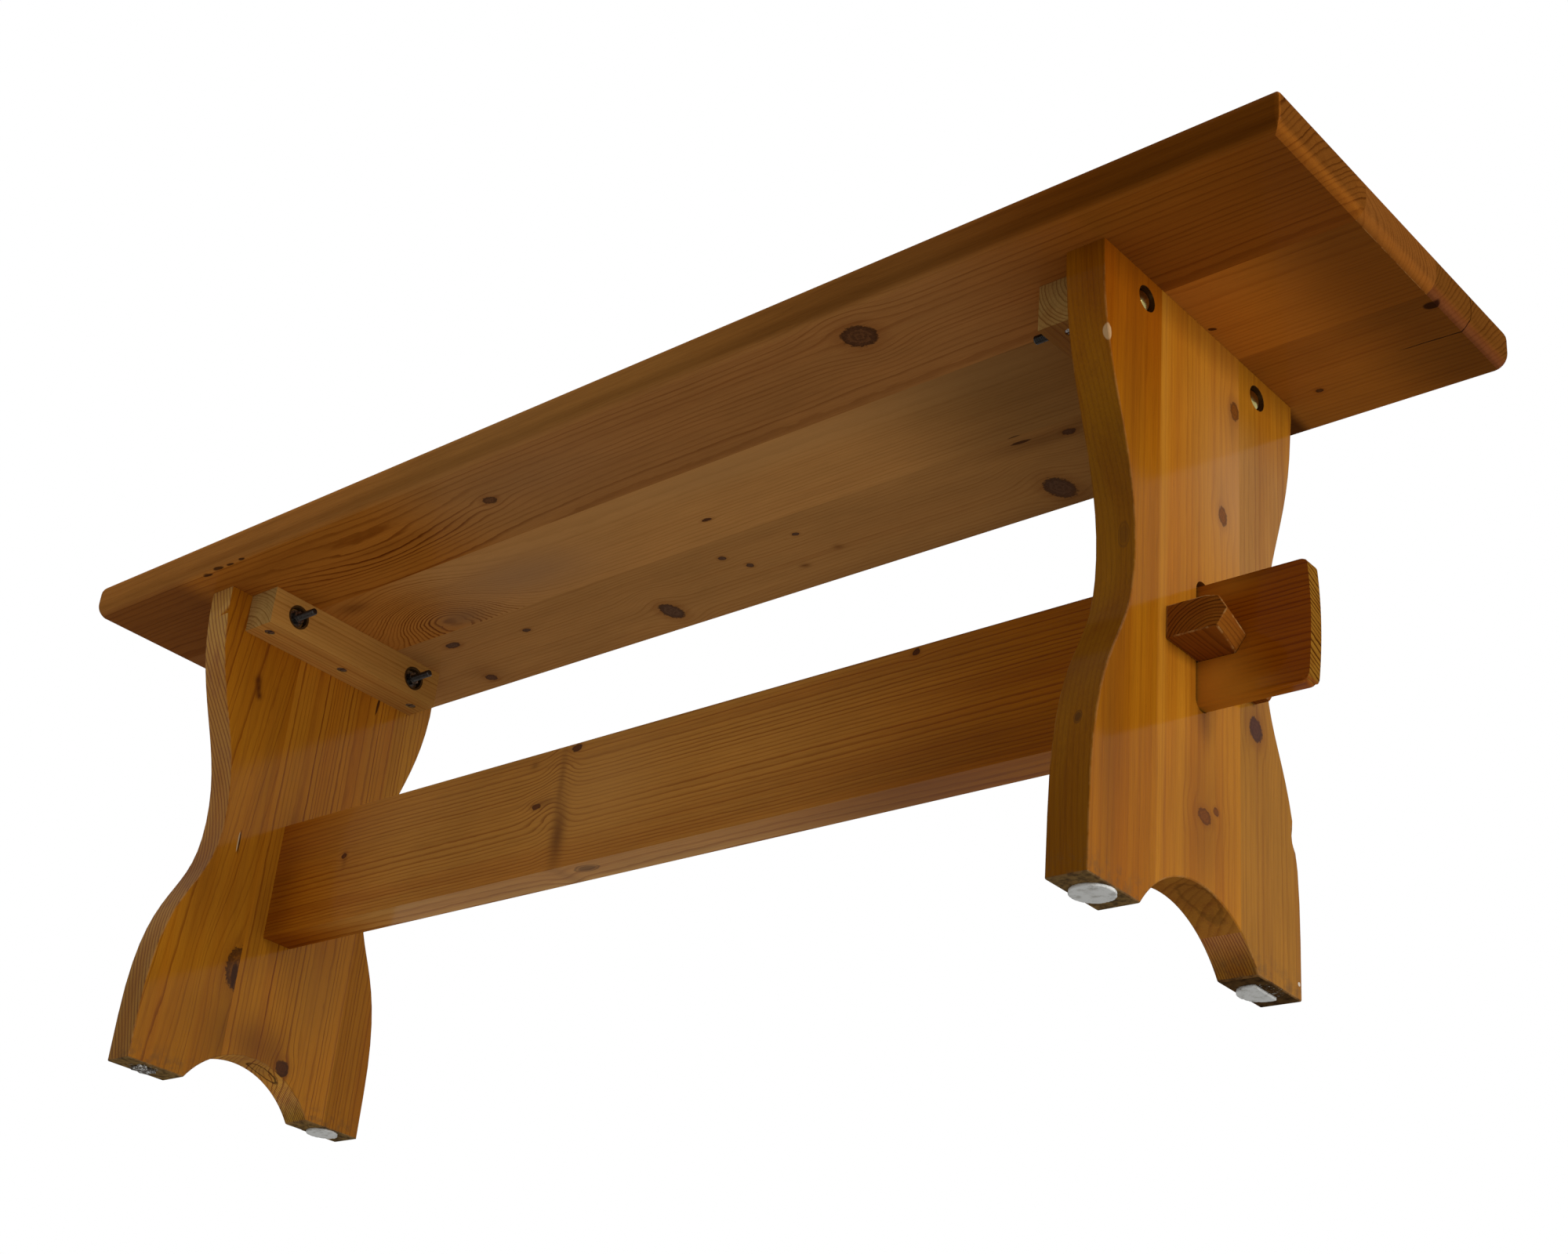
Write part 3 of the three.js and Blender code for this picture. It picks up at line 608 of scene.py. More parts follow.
seatShared = {
    "endGrain": 0.58, "endTint": (1.20, 1.28, 1.4), "endLines": 1.0, "gloss": 0.02, "wear": 0.08,
    "early": (0.445, 0.206, 0.056), "late": (0.26, 0.098, 0.018), "knotPale": (0.15, 0.055, 0.020),
    "edgeTint": (0.66, 0.63, 0.54), "bands": 0.10, "sideLate": 0.35, "endWear": (570, 0.8),
    # the ramps on the underside from x 470 and from x -440 outwards are painted shade under the overhangs beyond
    # the trestles
    "tintAndShadeRamps": [(300, 460, (0.80, 0.57, 0.23), "all"), (470, 585, (0.70, 0.68, 0.68), "down"),
                 (360, 500, (0.80, 0.85, 0.8), "side"), (-440, -475, (0.56, 0.53, 0.74), "down"),
                 (-500, -560, (0.72, 0.68, 0.62), "turn")],
}
seatBoards = {
    "seat_board_front": {
        "seed": 1, "pith": (-12, 335), "lean": (0.02, 0.012), "ring": 4.2, "wobble": 5, "streak": 0.25,
        "early": (0.44, 0.192, 0.048), "late": (0.19, 0.055, 0.007), "lateShare": 0.45, "contrast": 0.6,
        "knots": [(257, -115, 12, 11), (-120, -98, 6.5, 4.4)], "knotPale": (0.22, 0.09, 0.03),
        "stains": [(-425, -141, 6, 2.2, 8), (-408, -143, 7, 1.3, 4), (-392, -142.5, 5, 1.2, 5),
                   (-376, -143, 4, 1.0, 5)],
        "swirls": [(-255, -84, 120, 30, 4.5, 0.85)],
        "patchesAndLight": [(-60, -105, 90, 40, 0.25, (0.34, 0.178, 0.074))],
        "shades": [(-380, -118, 90, 12, 0.2), (-240, -92, 60, 6, 0.2)], "endTint": (1.08, 1.12, 1.5),
        # on the side faces, (60, 300) is painted shade on the front nose, which catches grazing light
        "tintAndShadeRamps": [(-120, -240, (0.98, 0.77, 0.37), "down"), (60, 250, (0.92, 0.86, 0.78), "side"),
                     (-200, 0, (0.90, 0.86, 0.88), "down"), (440, 450, (0.90, 0.92, 0.88), "down"),
                     (480, 560, (1.12, 1.10, 1.10), "down"), (-100, -300, (1.2, 1.12, 1.05), "side"),
                     (60, 300, (0.74, 0.70, 0.66), "side"), (500, 560, (0.88, 0.88, 0.9), "turn")],
    },
    "seat_board_middle": {
        "seed": 2, "pith": (-66, 360), "lean": (-0.01, 0.02), "ring": 3.4, "wobble": 5, "streak": 0.15,
        "contrast": 0.45, "tone": 1.2, "bands": 0.06, "endTint": (1.12, 1.14, 1.7),
        "knots": [(7, 14.7, 4.2, 2)], "stains": [(272, 43.5, 6, 2, 0), (452, 4, 3, 1.6, 30)],
        "swirls": [(-300, 18, 64, 44, 17, 3.2)], "shades": [(457, 50, 9, 4, 0.6), (-358, -33, 20, 8, 0.55)],
        "patchesAndLight": [(-185, 2, 72, 30, 0.7, (0.37, 0.19, 0.078)), (-286, 28, 30, 15, 0.85, (0.29, 0.135, 0.048)),
                  (70, -36, 260, 18, 0.4, (0.52, 0.27, 0.09))],
        # on the underside, (150, 310) is painted shade near the right trestle, (440, 450) lifts it again past the
        # trestle, and (480, 560) is painted shade under the overhang
        "tintAndShadeRamps": [(-240, -330, (0.92, 0.76, 0.46), "down"), (150, 310, (0.47, 0.465, 0.445), "down"),
                     (440, 450, (2.5, 2.6, 2.5), "down"), (480, 560, (0.62, 0.59, 0.59), "down"),
                     (500, 560, (0.68, 0.66, 0.84), "turn")],
    },
    "seat_board_back": {
        "seed": 3, "pith": (196, 350), "lean": (0.01, 0.02), "ring": 3.3, "wobble": 5, "streak": 0.2,
        "contrast": 0.5, "endTint": (0.95, 0.98, 1.3),
        "knots": [(-333, 62, 7.5, 4.2), (-349, 125, 5.5, 5), (-253, 75, 4, 2.4), (-119, 114, 8.5, 12),
                  (-23, 67.5, 3.2, 2.6), (-11, 87.6, 3, 2.8), (52, 68, 2.8, 2), (308, 57, 5, 3),
                  (261, 117, 10, 14), (474, 103, 2.5, 2)],
        "knotPale": (0.17, 0.085, 0.045), "knotDark": (0.055, 0.024, 0.012),
        "stains": [(566, 90, 30, 0.6, 1.5), (272, 51, 9, 1.4, 0), (575.5, 55, 5.5, 4, 0)],
        # the first shade, by the back edge near the right trestle, is painted shadow of that trestle
        "shades": [(340, 140, 110, 26, 0.42), (150, 100, 100, 40, 0.16), (-346, 116, 22, 18, 0.3),
                   (288, 56, 40, 8, 0.45), (27, 111, 4.5, 3, 0.7), (68, 101, 4.5, 3.5, 0.5)],
        "patchesAndLight": [(190, 153, 230, 20, 0.45, (0.10, 0.040, 0.011))],
        # on the underside, (150, 320) and (290, 380) are painted shade near the right trestle, (440, 450) lifts it
        # again past the trestle, and (500, 560) is painted shade under the overhang
        "tintAndShadeRamps": [(150, 320, (0.66, 0.64, 0.60), "down"), (290, 380, (0.47, 0.42, 0.34), "down"),
                     (440, 450, (3.5, 4.05, 5.1), "down"), (500, 560, (0.68, 0.68, 0.72), "down"),
                     (500, 560, (0.49, 0.42, 0.92), "turn")],
    },
}
seatValues = {  # a corner: which end, y of the edge, which way is inward, radius
    "glue": (-47, 43), "end": 585,
    "corners": ((-1, -149, 1, 9.5), (1, -149, 1, 4), (-1, 149, -1, 8), (1, 149, -1, 9)),
}
for node, board in seatBoards.items():
    boardFrom(node, "bench", pine(node + "_pine", seatShared, board), seatValues["glue"],
              corners=(1, seatValues["end"], seatValues["corners"]))
print("seat dressed")


# trestles: boards on end

# painted shade darkens the recesses round the bolt heads
trestleShared = {"along": "z", "grime": 0.9, "recessShade": ((67, 402.95, 9.2), (444.5, 448)), "gloss": 0.14}
trestleSides = {
    "left": {"glue": (-32.5, 81.5), "underArch": (1.5, 1.9, 5.5)},
    "right": {"glue": (-50, 43.5), "underArch": (1.22, 1.28, 2.8)},
}
trestleJoinery = ((anywhere, anywhere, (386, 2000)), (anywhere, (-1, 16), (120, 250)))
trestleDents = {"right_trestle_board_back": (90, 114, 88, 3.6)}  # low, high, y it starts from, depth
cornerBoard = {
    "seed": 9, "pith": (190, -390), "ring": 4.4, "streak": 0.4, "late": (0.165, 0.038, 0.003), "contrast": 1.0,
    "lateShare": 0.4,
}
trestleBoards = {
    "right_trestle_board_front": {
        "seed": 4, "pith": (-210, 560), "ring": 5.2, "wobble": 3, "streak": 0.3, "endGrain": 0.85, "bands": 0.5,
        "early": (0.375, 0.128, 0.005), "tone": 0.95, "contrast": 0.34, "wear": 0.2,
        "edgeTint": (0.70, 0.76, 0.78), "flank": (3.4, 0.05, 0.25), "flankLate": 0.3,
        "chips": [((448, -109, 354), (4, 4, 6), (0.55, 0.34, 0.16))],
        "shades": [(105, -97, 115, 12, 0.48), (180, -86, 40, 8, 0.3), (330, -80, 80, 12, 0.28)],
        "marks": [((2, 0), (98, 436), (4, 2.5), 1, 0.5, 0.7), ((2, 0), (231, 440), (8, 3.5), 1, 0.3, 0.3)],
        # the first ramp, darker towards the top, is partly the board's tone and partly painted shade under the
        # seat's overhang
        "tintAndShadeRamps": [(260, 410, (0.82, 0.64, 0.50), "all"), (140, 10, (0.86, 0.84, 0.6), "side"),
                     (240, 380, (1.38, 1.5, 1.4), "side")],
    },
    "right_trestle_board_middle": {
        "seed": 5, "pith": (140, 540), "ring": 5.2, "wobble": 3, "streak": 0.45, "tone": 1.12, "endGrain": 0.9,
        "contrast": 0.40, "knots": [(377, 38, 6.5, 5), (291, 23.5, 6.5, 4.8), (79, 3, 4.4, 6.6),
                                    (86.5, 15.5, 2.4, 2.6)],
        "knotPale": (0.27, 0.078, 0.007), "knotDark": (0.045, 0.013, 0.003),
        # the shade at z 412 is painted shadow just under the seat
        "shades": [(137, 3, 16, 7, 0.55), (300, 23, 22, 8, 0.25), (370, 36, 20, 8, 0.35), (72, 2, 48, 28, 0.44),
                   (412, 10, 14, 60, 0.25)],
        "patchesAndLight": [(350, -45, 120, 4, 0.25, (0.46, 0.21, 0.03)), (190, -44, 80, 4, 0.2, (0.46, 0.21, 0.03)),
                  (312, 48, 66, 50, 0.45, (0.46, 0.245, 0.105))],
        "marks": [((1, 0), (14, 438), (20, 8.5), 2, 0.32, 0.1)],
    },
    "right_trestle_board_back": {
        "seed": 6, "pith": (190, 540), "ring": 3.8, "wobble": 3, "streak": 0.4, "tone": 0.92, "endGrain": 0.85,
        "contrast": 0.42, "edgeTint": (0.98, 1.0, 1.1), "flank": (1.9, 0.12, 1.0), "flankLate": 0.2,
        "knots": [(159, 62, 7.5, 7)], "knotPale": (0.09, 0.032, 0.012), "shades": [(165, 62, 22, 10, 0.3)],
        "tintAndShadeRamps": [(150, 60, (1.62, 1.52, 2.0), "down"), (390, 340, (1.03, 1.20, 4.0), "all"),
                     (250, 150, (0.90, 0.84, 0.42), "all")],
        "chips": [((448, 110, 12), (1.4, 1.4, 1.4), (0.8, 0.72, 0.6))], "scraps": (434, 88, 15), "soleShade": 0.28,
    },
    "left_trestle_board_front": {
        "seed": 7, "pith": (-210, -380), "lean": (0.10, 0), "ring": 6.4, "wobble": 4, "streak": 0.4, "tone": 1.13,
        "early": (0.42, 0.158, 0.009), "late": (0.180, 0.045, 0.004), "lateShare": 0.36, "contrast": 0.8,
        "edgeTint": (1.02, 1.26, 5.0), "flank": (4.2, 0.34, 0.75), "flankLate": 0.1, "endGrain": 0.95,
        "knots": [(102, -33, 17, 11)], "knotPale": (0.27, 0.09, 0.010), "wear": 0.5, "gloss": 0.2,
        "shades": [(165, -86, 60, 13, 0.35), (45, -20, 26, 26, 0.5), (150, -60, 44, 22, 0.25),
                   (349, -71.5, 4.5, 3.2, 0.98), (342, -69.5, 6.5, 2.6, 0.98), (336, -67.5, 3.5, 2.8, 0.98)],
        "stains": [(205, -57, 11, 0.8, 0), (96, -35.5, 11, 2.8, 0)], "scraps": (-434, -92, 14),
        "chips": [((-420.5, -58.2, 205), (2, 0.7, 9), (0.6, 0.45, 0.25))],
        "tintAndShadeRamps": [(250, 400, (0.94, 0.84, 0.70), "all"), (320, 400, (1.36, 1.75, 2.2), "side"),
                     (230, 130, (0.80, 0.84, 0.95), "side"), (130, 40, (0.88, 0.86, 0.7), "all")],
    },
    "left_trestle_board_middle": {
        "seed": 8, "pith": (150, -360), "ring": 4.6, "wobble": 2.5, "streak": 0.4, "tone": 1.24, "lateShare": 0.40,
        "early": (0.42, 0.158, 0.009), "late": (0.165, 0.038, 0.003), "contrast": 1.05, "endGrain": 1.0,
        "edgeTint": (0.85, 1.25, 3.0), "flank": (2.4, 0.15, 1.1), "gloss": 0.2,
        "knots": [(36.5, 29.6, 6.4, 6.4)], "knotPale": (0.12, 0.034, 0.006), "knotDark": (0.022, 0.009, 0.004),
        "marks": [((1, 0), (20, -434), (15, 6.5), 2, 0.85, 0.1)], "stains": [(380, 59, 10, 1.3, 6)],
        "shades": [(46, -4, 26, 28, 0.6), (140, -22, 56, 10, 0.32), (44, 20, 16, 10, 0.35)],
        "patchesAndLight": [(105, 52, 44, 24, 0.3, (0.52, 0.23, 0.03))],
        "tintAndShadeRamps": [(230, 380, (1.08, 1.08, 1.3), "all"), (150, 40, (1.15, 1.15, 1.1), "all")],
    },
    "left_trestle_top_corner": {**cornerBoard, "early": (0.45, 0.190, 0.020), "tone": 1.22},
    "left_trestle_foot_corner": {**cornerBoard, "tone": 1.14},
}
for node, board in trestleBoards.items():
    side = trestleSides[node.split("_")[0]]
    shared = {**trestleShared, "tintAndShadeRamps": [(300, 150, side["underArch"], "down")]}
    boardFrom(node, "bench", pine(node + "_pine", shared, board), side["glue"], trestleJoinery,
              dent=trestleDents.get(node))
print("trestles dressed")


# stretcher with its through tenons

stretcherBoard = {
    "along": "xUpright", "seed": 10, "pith": (420, 90), "ring": 3.2, "wobble": 3, "streak": 0.3, "bands": 0.5,
    "early": (0.475, 0.198, 0.032), "late": (0.25, 0.070, 0.007), "contrast": 0.9, "wornTone": (0.66, 0.42, 0.16),
    "deepEnds": (448, (0.77, 0.61, 0.54)), "endGrain": 1.0, "endTint": (1.25, 2.3, 22.0), "endLines": 1.5,
    "swirls": [(-86, 205, 14, 60, 2.6, 0.1), (-104, 192, 16, 14, 2.2, 0.2)], "wear": 0.6,
    # the first ramp, darker towards the right trestle, is partly the board's tone and partly painted shade next to
    # that trestle
    "tintAndShadeRamps": [(70, 370, (0.66, 0.47, 0.038), "all"), (-240, -400, (0.86, 0.63, 0.17), "all"),
                 (1000, 900, (1.30, 1.55, 2.6), "down"),  # the whole underside
                 (40, 280, (0.66, 0.54, 0.40), "down"), (-280, -400, (0.70, 0.52, 0.26), "down"),
                 (210, 380, (1.75, 2.05, 4.5), "down")],
    "knots": [(-332, 192, 3, 2.2), (-72, 231, 5, 2.6), (-108, 190.5, 4.5, 2.0), (243, 231, 3, 2.2)],
    "knotPale": (0.16, 0.045, 0.010), "marks": [((0, 1), (-55, -4), (11, 5), 2, 0.5, 0.6)],
    "shades": [(-84, 206, 3.5, 30, 0.5), (-80, 164, 7, 26, 0.9), (-98, 192, 12, 3, 0.5),
               (270, 150, 130, 18, 0.3), (480, 226, 20, 5, 0.5), (-410, 165, 24, 60, 0.45),
               (-330, 188, 3, 8, 0.4), (-116, 226, 4, 3, 0.5)],
    # the first three patches, on the right tenon round its wedge, are painted light where the wedge and trestle
    # shade it
    "patchesAndLight": [(459, 163, 22, 22, 0.9, (0.62, 0.24, 0.022)), (472, 150, 22, 9, 0.6, (0.52, 0.20, 0.018)),
              (466, 221, 22, 9, 0.5, (0.50, 0.19, 0.018)), (-490, 190, 40, 60, 0.4, (0.50, 0.20, 0.02)),
              (-290, 216, 120, 26, 0.2, (0.62, 0.28, 0.07)), (-40, 195, 60, 44, 0.35, (0.58, 0.28, 0.075))],
}
stretcherValues = {
    "joinery": (((449, 500), anywhere, (160, 210)),),
    "end": 519.96, "edges": ((146.3, 1), (227.3, -1)), "radius": 5,  # a tenon's corners: z, which way is inward
}
tenonCorners = [(side, edge, inward, stretcherValues["radius"])
                for side in (-1, 1) for edge, inward in stretcherValues["edges"]]
boardFrom("stretcher", "bench", pine("stretcher_pine_look", {}, stretcherBoard),
          joinery=stretcherValues["joinery"], corners=(2, stretcherValues["end"], tenonCorners))
print("stretcher dressed")


# wedges

wedgeShared = {
    "along": "yUpright", "ring": 2.4, "wobble": 2, "streak": 0.4, "early": (0.24, 0.075, 0.008),
    "late": (0.10, 0.026, 0.003), "endGrain": 0.95, "wear": 0.8, "gloss": 0.06, "contrast": 0.8, "tone": 1.16,
    "endLines": 1.0, "wornTone": (0.42, 0.21, 0.065),
}
wedgeSides = {"left": {"seed": 11, "pith": (160, -478)}, "right": {"seed": 12, "pith": (160, 478)}}
wedgeArris = 0.8
for side, board in wedgeSides.items():
    boardFrom(side + "_wedge", side + "_wedge", pine(side + "_wedge_pine", wedgeShared, board),
              arris=wedgeArris)
print("wedges dressed")


# battens

battenShared = {
    "along": "y", "ring": 2.8, "wobble": 2, "streak": 0.2, "early": (0.60, 0.298, 0.066),
    "late": (0.40, 0.150, 0.022), "endGrain": 0.9, "gloss": 0.05, "wear": 0.3,
    # painted shade darkens the recesses round the nuts
    "recessShade": ((67, 402.95, 10.8), (386.0, 392.5)), "wornTone": (0.60, 0.36, 0.13),
}
battenSides = {
    "left": {"seed": 13, "pith": (-430, 360), "tone": 1.06, "endTint": (1.05, 1.30, 1.8),
             "tintAndShadeRamps": [(10, 90, (0.74, 0.72, 0.70), "all")]},
    "right": {"seed": 14, "pith": (424, 418), "tone": 0.88, "endTint": (1.0, 1.15, 1.5),
              # painted shade on the underside
              "tintAndShadeRamps": [(-96, -95, (0.5, 0.42, 0.33), "down")]},
}
battenJoinery = ((anywhere, (-1, 90), (389, 417)), ((392, 415), (-1, 88), (-1, 387)))
battenArris = 1.2
for side, board in battenSides.items():
    boardFrom(side + "_batten", "bench", pine(side + "_batten_pine", battenShared, board),
              joinery=battenJoinery, arris=battenArris)
print("battens dressed")


# metal

metals = {  # dull: how fast it varies, detail, roughness; spots: flecks or rust, the same, with its soft edge
    "aged_brass": {
        "dull": (0.35, 4, 0.65), "tones": ((0.44, 0.38, 0.15), (0.30, 0.25, 0.09)), "rough": (0.13, 0.10),
        "spots": (1.6, 2, 0.6), "spotEdge": (0.55, 0.75), "spotShare": 0.25, "spotTone": (0.14, 0.10, 0.035),
        "spotRough": 0.08, "metallic": 1.0, "relief": ("spots", 0.01, 0.3),
    },
    "black_steel_look": {
        "dull": (0.5, 4, 0.6), "tones": ((0.020, 0.019, 0.019), (0.085, 0.078, 0.070)), "rough": (0.18, 0.25),
        "metallic": 0.8, "relief": ("dull", 0.05, 0.5),
    },
    "nut_steel_look": {
        "dull": (0.6, 4, 0.65), "dullEdge": (0.35, 0.65), "tones": ((0.30, 0.28, 0.25), (0.07, 0.062, 0.055)),
        "rough": (0.2, 0.25), "metallic": 0.9, "relief": ("dull", 0.04, 0.5),
    },
    "screw_steel_look": {
        "dull": (0.8, 4, 0.6), "tones": ((0.30, 0.28, 0.25), (0.14, 0.13, 0.12)), "rough": (0.3, 0.2),
        "spots": (0.4, 4, 0.6), "spotEdge": (0.5, 0.65), "spotShare": 0.6, "spotTone": (0.12, 0.055, 0.025),
        "spotRough": 0.3, "metallic": 0.9, "relief": ("dull", 0.03, 0.5),
    },
}


def metalLook(name):
    v, r = metals[name], Recipe(name)
    place = r.place()
    dull = r.speckle(place, *v["dull"])
    colour = r.blend(r.ease(dull, *v["dullEdge"]) if "dullEdge" in v else dull, *v["tones"])
    polish, more = v["rough"]
    rough, heights = dull * more + polish, {"dull": dull}
    if "spots" in v:
        heights["spots"] = spots = r.ease(r.speckle(place, *v["spots"]), *v["spotEdge"])
        colour = r.blend(spots * v["spotShare"], colour, v["spotTone"])
        rough = rough + spots * v["spotRough"]
    which, depth, strength = v["relief"]
    return r.surface({"Base Color": colour, "Roughness": rough, "Metallic": v["metallic"]},
                     heights[which], depth, strength)


brass, blackSteel, nutSteel, screwSteel = map(metalLook, metals)

boltValues = {
    "radius": 3, "headRadius": 8.25, "headHeight": 3.4, "headEdge": 0.6, "headUndercut": 0.25, "domeSteps": 9,
    "neck": 6.4, "neckLength": 3, "threadPitch": 1.0, "threadDepth": 0.55, "threadLength": 30, "nose": 0.7,
    "threadShape": ((0.15, 0), (0.5, 1), (0.85, 0)),  # shares of the pitch and of the depth
    "steps": 40, "sharpAngle": 0.7,
}


def spinProfile(mesh, points, centre, slot):
    rim = [mesh.verts.new(point) for point in points]
    line = [mesh.edges.new(pair) for pair in zip(rim, rim[1:])]
    before = set(mesh.faces)
    bmesh.ops.spin(mesh, geom=rim + line, cent=centre, axis=(1, 0, 0), angle=math.tau,
                   steps=boltValues["steps"], use_merge=True)
    for face in mesh.faces:
        if face not in before:
            face.material_index = slot


def makeBolt(node):
    v = boltValues
    low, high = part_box(node)
    y, z = (low.y + high.y) / 2 / mm, (low.z + high.z) / 2 / mm
    outward = 1 if low.x + high.x > 0 else -1
    face = (high.x if outward > 0 else low.x) / mm  # the crown of the head
    tip = (low.x if outward > 0 else high.x) / mm
    seat = face - outward * v["headHeight"]
    centre = (0, y * mm, z * mm)

    def point(x, radius):
        return Vector((x, y + radius, z)) * mm

    mesh = bmesh.new()
    crown = v["headHeight"] - v["headEdge"]
    dome = [point(seat + outward * (v["headEdge"] + crown * math.cos(math.pi / 2 * part)), v["headRadius"] * part)
            for part in (i / v["domeSteps"] for i in range(v["domeSteps"] + 1))]
    head = dome + [point(seat, v["headRadius"] - v["headUndercut"]), point(seat, v["radius"])]
    spinProfile(mesh, head, centre, 0)
    shank = [point(seat, v["radius"]), point(tip + outward * v["threadLength"], v["radius"])]
    for i in range(round((v["threadLength"] - v["nose"]) / v["threadPitch"])):
        x = tip + outward * (v["threadLength"] - i * v["threadPitch"])
        shank += [point(x - outward * share * v["threadPitch"], v["radius"] - depth * v["threadDepth"])
                  for share, depth in v["threadShape"]]
    shank += [point(tip + outward * v["nose"], v["radius"]), point(tip, v["radius"] - v["nose"]), point(tip, 0)]
    spinProfile(mesh, shank, centre, 1)
    middle = Vector((seat - outward * v["neckLength"] / 2, y, z)) * mm
    size = Matrix.Diagonal((v["neckLength"] * mm, v["neck"] * mm, v["neck"] * mm, 1))
    made = bmesh.ops.create_cube(mesh, size=1, matrix=Matrix.Translation(middle) @ size)
    for face in {f for vert in made["verts"] for f in vert.link_faces}:
        face.material_index = 1
    bmesh.ops.remove_doubles(mesh, verts=mesh.verts, dist=boardValues["merge"])
    bmesh.ops.recalc_face_normals(mesh, faces=mesh.faces)
    finishPiece(mesh, node, "bench", [brass, blackSteel], v["sharpAngle"])


corners = ("left_front", "left_back", "right_front", "right_back")
for corner in corners:
    makeBolt(corner + "_bolt")
    for part in ("_washer", "_nut"):
        nodes[corner + part].data.materials[0] = nutSteel
for side in ("left", "right"):
    for row in ("front", "middle", "back"):
        nodes[f"{side}_{row}_screw"].data.materials[0] = screwSteel
print("bolts and screws dressed")


# felt pads

feltLooks = {
    "pressed_felt": {"dirt": (0.34, 0.31, 0.25), "share": 0.6, "soil": (0.16, 4, 0.6), "edge": (0.45, 0.72)},
    "torn_felt": {"dirt": (0.075, 0.050, 0.028), "share": 0.95, "soil": (0.4, 4, 0.6), "edge": (0.40, 0.50)},
}
feltValues = {
    "fluff": (1.3, 5, 0.7), "tones": ((0.95, 0.95, 0.92), (0.80, 0.79, 0.74)),
    "rough": 0.95, "shine": 0.1, "relief": (0.35, 1),
}
padValues = {
    "grid": 1.4, "seed": 21, "ruffle": 0.45, "fine": 1.9, "rimTilt": 0.5, "sharpAngle": 1.0,
    "fray": 0.5, "frayLeast": 0.5, "frayRuffle": 2,  # the rim pulled in
    "fuzz": 0.28, "fuzzHeight": 0.3, "fuzzLeast": 0.35, "fuzzFine": 0.6,  # the pressed face
}


def feltLook(name):
    v, look, r = feltValues, feltLooks[name], Recipe(name)
    spot = r.place()
    fluff = r.speckle(spot, *v["fluff"])
    soiled = r.ease(r.speckle(spot, *look["soil"]), *look["edge"])
    colour = r.blend(soiled * look["share"], r.blend(fluff, *v["tones"]), look["dirt"])
    return r.surface({"Base Color": colour, "Roughness": v["rough"], "Specular IOR Level": v["shine"]},
                     fluff, *v["relief"])


def padFrom(node, look):
    v = padValues
    mesh = mergedCopy(node)
    low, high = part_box(node)
    middle = (low + high) / 2
    for axis in (0, 1):
        count = int((high[axis] - low[axis]) / mm / v["grid"])
        for i in range(1, count):
            cutAcross(mesh, everything(mesh), axis, (low[axis] + (high[axis] - low[axis]) * i / count) / mm)
    cutAcross(mesh, everything(mesh), 2, middle.z / mm)
    for vert in mesh.verts:
        onRim = any(abs(f.normal.z) < v["rimTilt"] for f in vert.link_faces)
        ruffle = noise.noise(vert.co / mm * v["ruffle"] + Vector((v["seed"], 0, 0)))
        fine = noise.noise(vert.co / mm * v["fine"] + Vector((0, v["seed"], 0)))
        if onRim:
            inward = Vector((middle.x - vert.co.x, middle.y - vert.co.y, 0)).normalized()
            pulled = v["frayLeast"] + (1 - v["frayLeast"]) * abs(ruffle * v["frayRuffle"] + fine)
            vert.co += inward * mm * v["fray"] * pulled
        if vert.co.z < low.z + v["fuzzHeight"] * mm:
            vert.co.z += mm * v["fuzz"] * max(0, v["fuzzLeast"] + ruffle + fine * v["fuzzFine"])
    finishPiece(mesh, node, "bench", [look], v["sharpAngle"])


felt, tornFelt = map(feltLook, feltLooks)
for corner in corners:
    padFrom(corner + "_pad", tornFelt if corner == "left_front" else felt)
print("pads dressed")


# room: pale floor, white surroundings, soft light from the right

roomValues = {
    "ambient": 0.40, "floor": 0.80, "floorGlow": 0.5, "floorSize": 9, "floorSides": 96,  # metres
    "aim": (0, 0, 0.25),
    "lamps": {
        "side": {"place": (3.2, -0.1, 0.45), "size": 1.0, "watts": 43},
        "top": {"place": (0.3, -0.8, 3.0), "size": 2.2, "watts": 34},
    },
}
white = (1, 1, 1, 1)


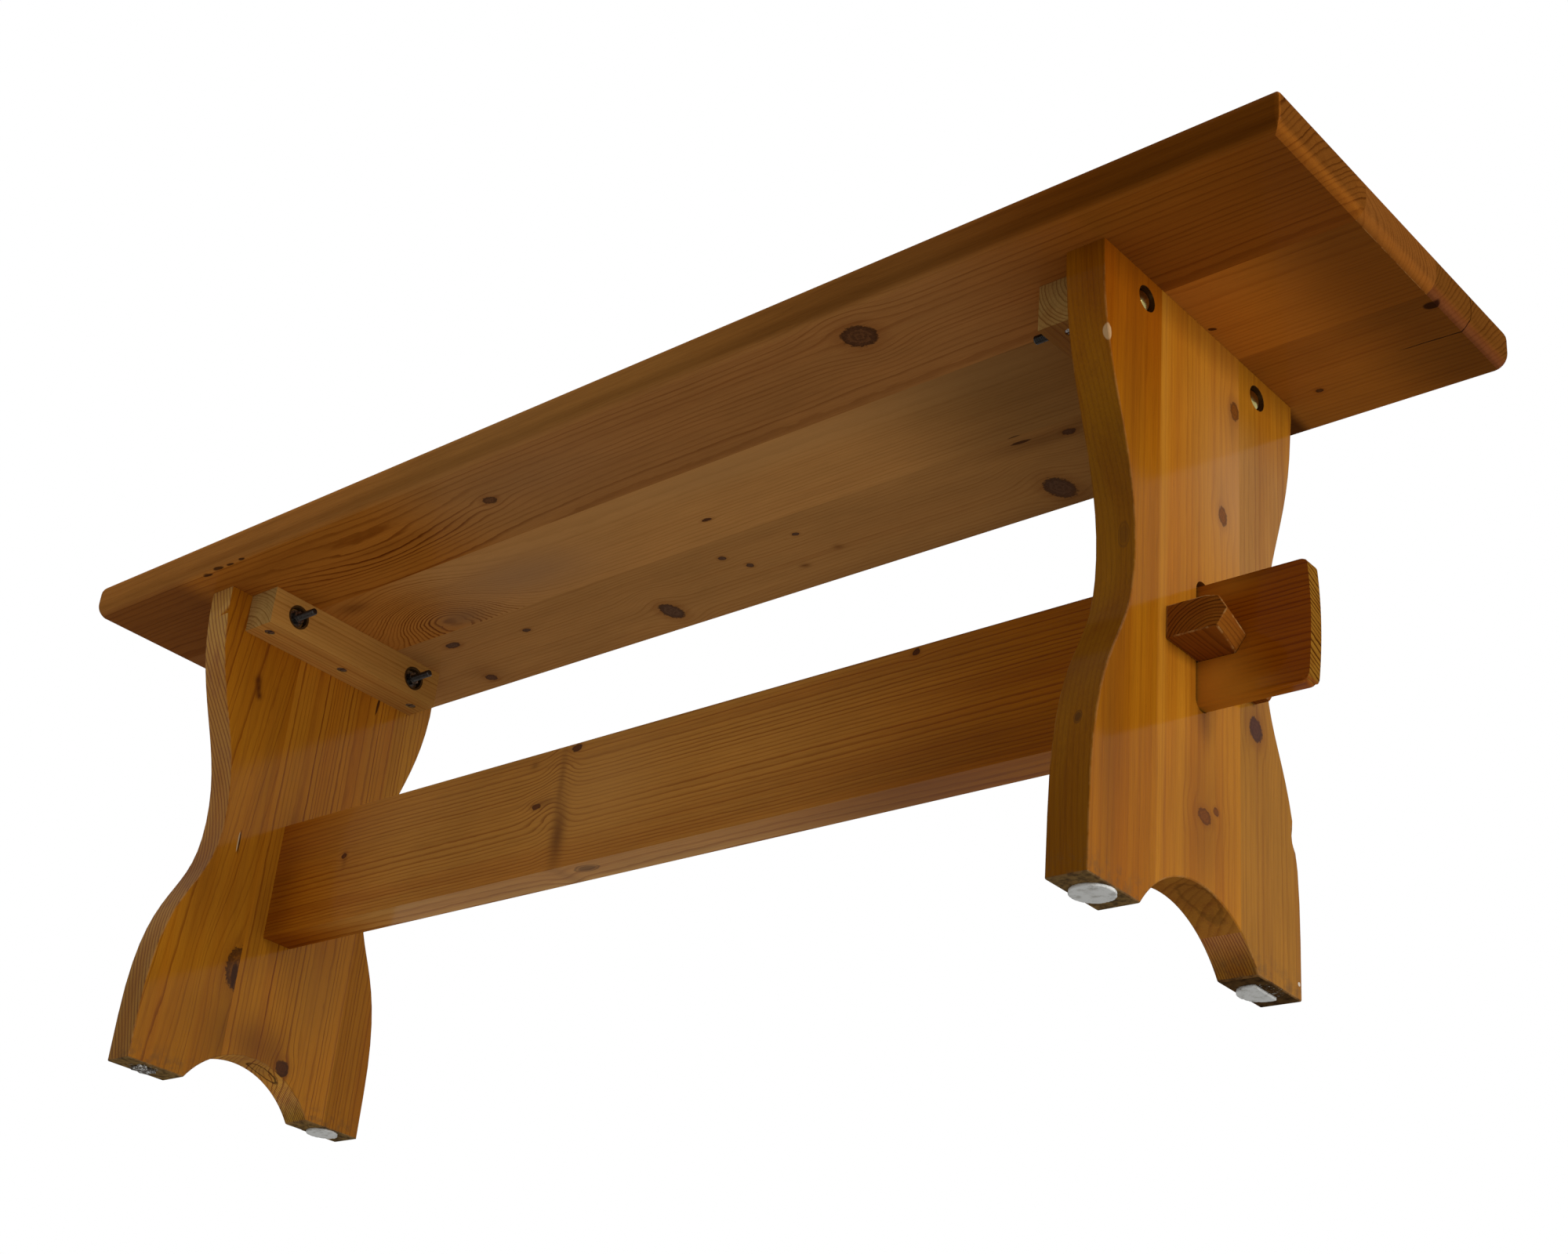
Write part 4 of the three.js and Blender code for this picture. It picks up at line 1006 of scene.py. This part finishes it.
def seenBy(r, *rays):  # 1 where one of these rays of Light Path comes in
    path = r.node("ShaderNodeLightPath")
    return r.gather("MAXIMUM", [r.out(path, ray) for ray in rays])


def makeSurroundings(v):
    world = bpy.data.worlds.new("surroundings")
    bpy.context.scene.world = world
    r = Recipe("surroundings", world)
    seen = seenBy(r, "Is Camera Ray", "Is Glossy Ray", "Is Transmission Ray")
    strength = seen * (1 - v["ambient"]) + v["ambient"]
    background = r.node("ShaderNodeBackground", None, {"Color": white, "Strength": strength})
    r.node("ShaderNodeOutputWorld", None, {0: r.out(background)})


def makeFloor(v):
    mesh = bmesh.new()
    bmesh.ops.create_circle(mesh, cap_ends=True, segments=v["floorSides"], radius=v["floorSize"])
    data = bpy.data.meshes.new("floor")
    mesh.to_mesh(data)
    mesh.free()
    floor = addObject("floor", data)
    floor.visible_diffuse = floor.visible_shadow = False  # the surroundings light the feet from below too
    r = Recipe("pale_floor")
    plain = r.node("ShaderNodeBsdfDiffuse", None, {"Color": (v["floor"], v["floor"], v["floor"], 1)})
    glow = r.node("ShaderNodeEmission", None, {"Color": white, "Strength": 1.0})
    share = seenBy(r, "Is Camera Ray", "Is Glossy Ray") * v["floorGlow"]
    pale = r.node("ShaderNodeMixShader", None, {0: share, 1: r.out(plain), 2: r.out(glow)})
    below = r.out(r.node("ShaderNodeNewGeometry"), "Backfacing")  # clear from below
    clear = r.node("ShaderNodeBsdfTransparent")
    both = r.node("ShaderNodeMixShader", None, {0: below, 1: r.out(pale), 2: r.out(clear)})
    r.node("ShaderNodeOutputMaterial", None, {0: r.out(both)})
    data.materials.append(r.finish)


def makeLamps(v):
    for name, lamp in v["lamps"].items():
        light = bpy.data.lights.new(name, "AREA")
        light.energy, light.size = lamp["watts"], lamp["size"]
        holder = addObject(name + "_lamp", light)
        holder.location = lamp["place"]
        holder.rotation_euler = (Vector(v["aim"]) - holder.location).to_track_quat("-Z", "Y").to_euler()


makeSurroundings(roomValues)
makeFloor(roomValues)
makeLamps(roomValues)
bpy.context.scene.view_settings.view_transform = "Standard"
print("room made")
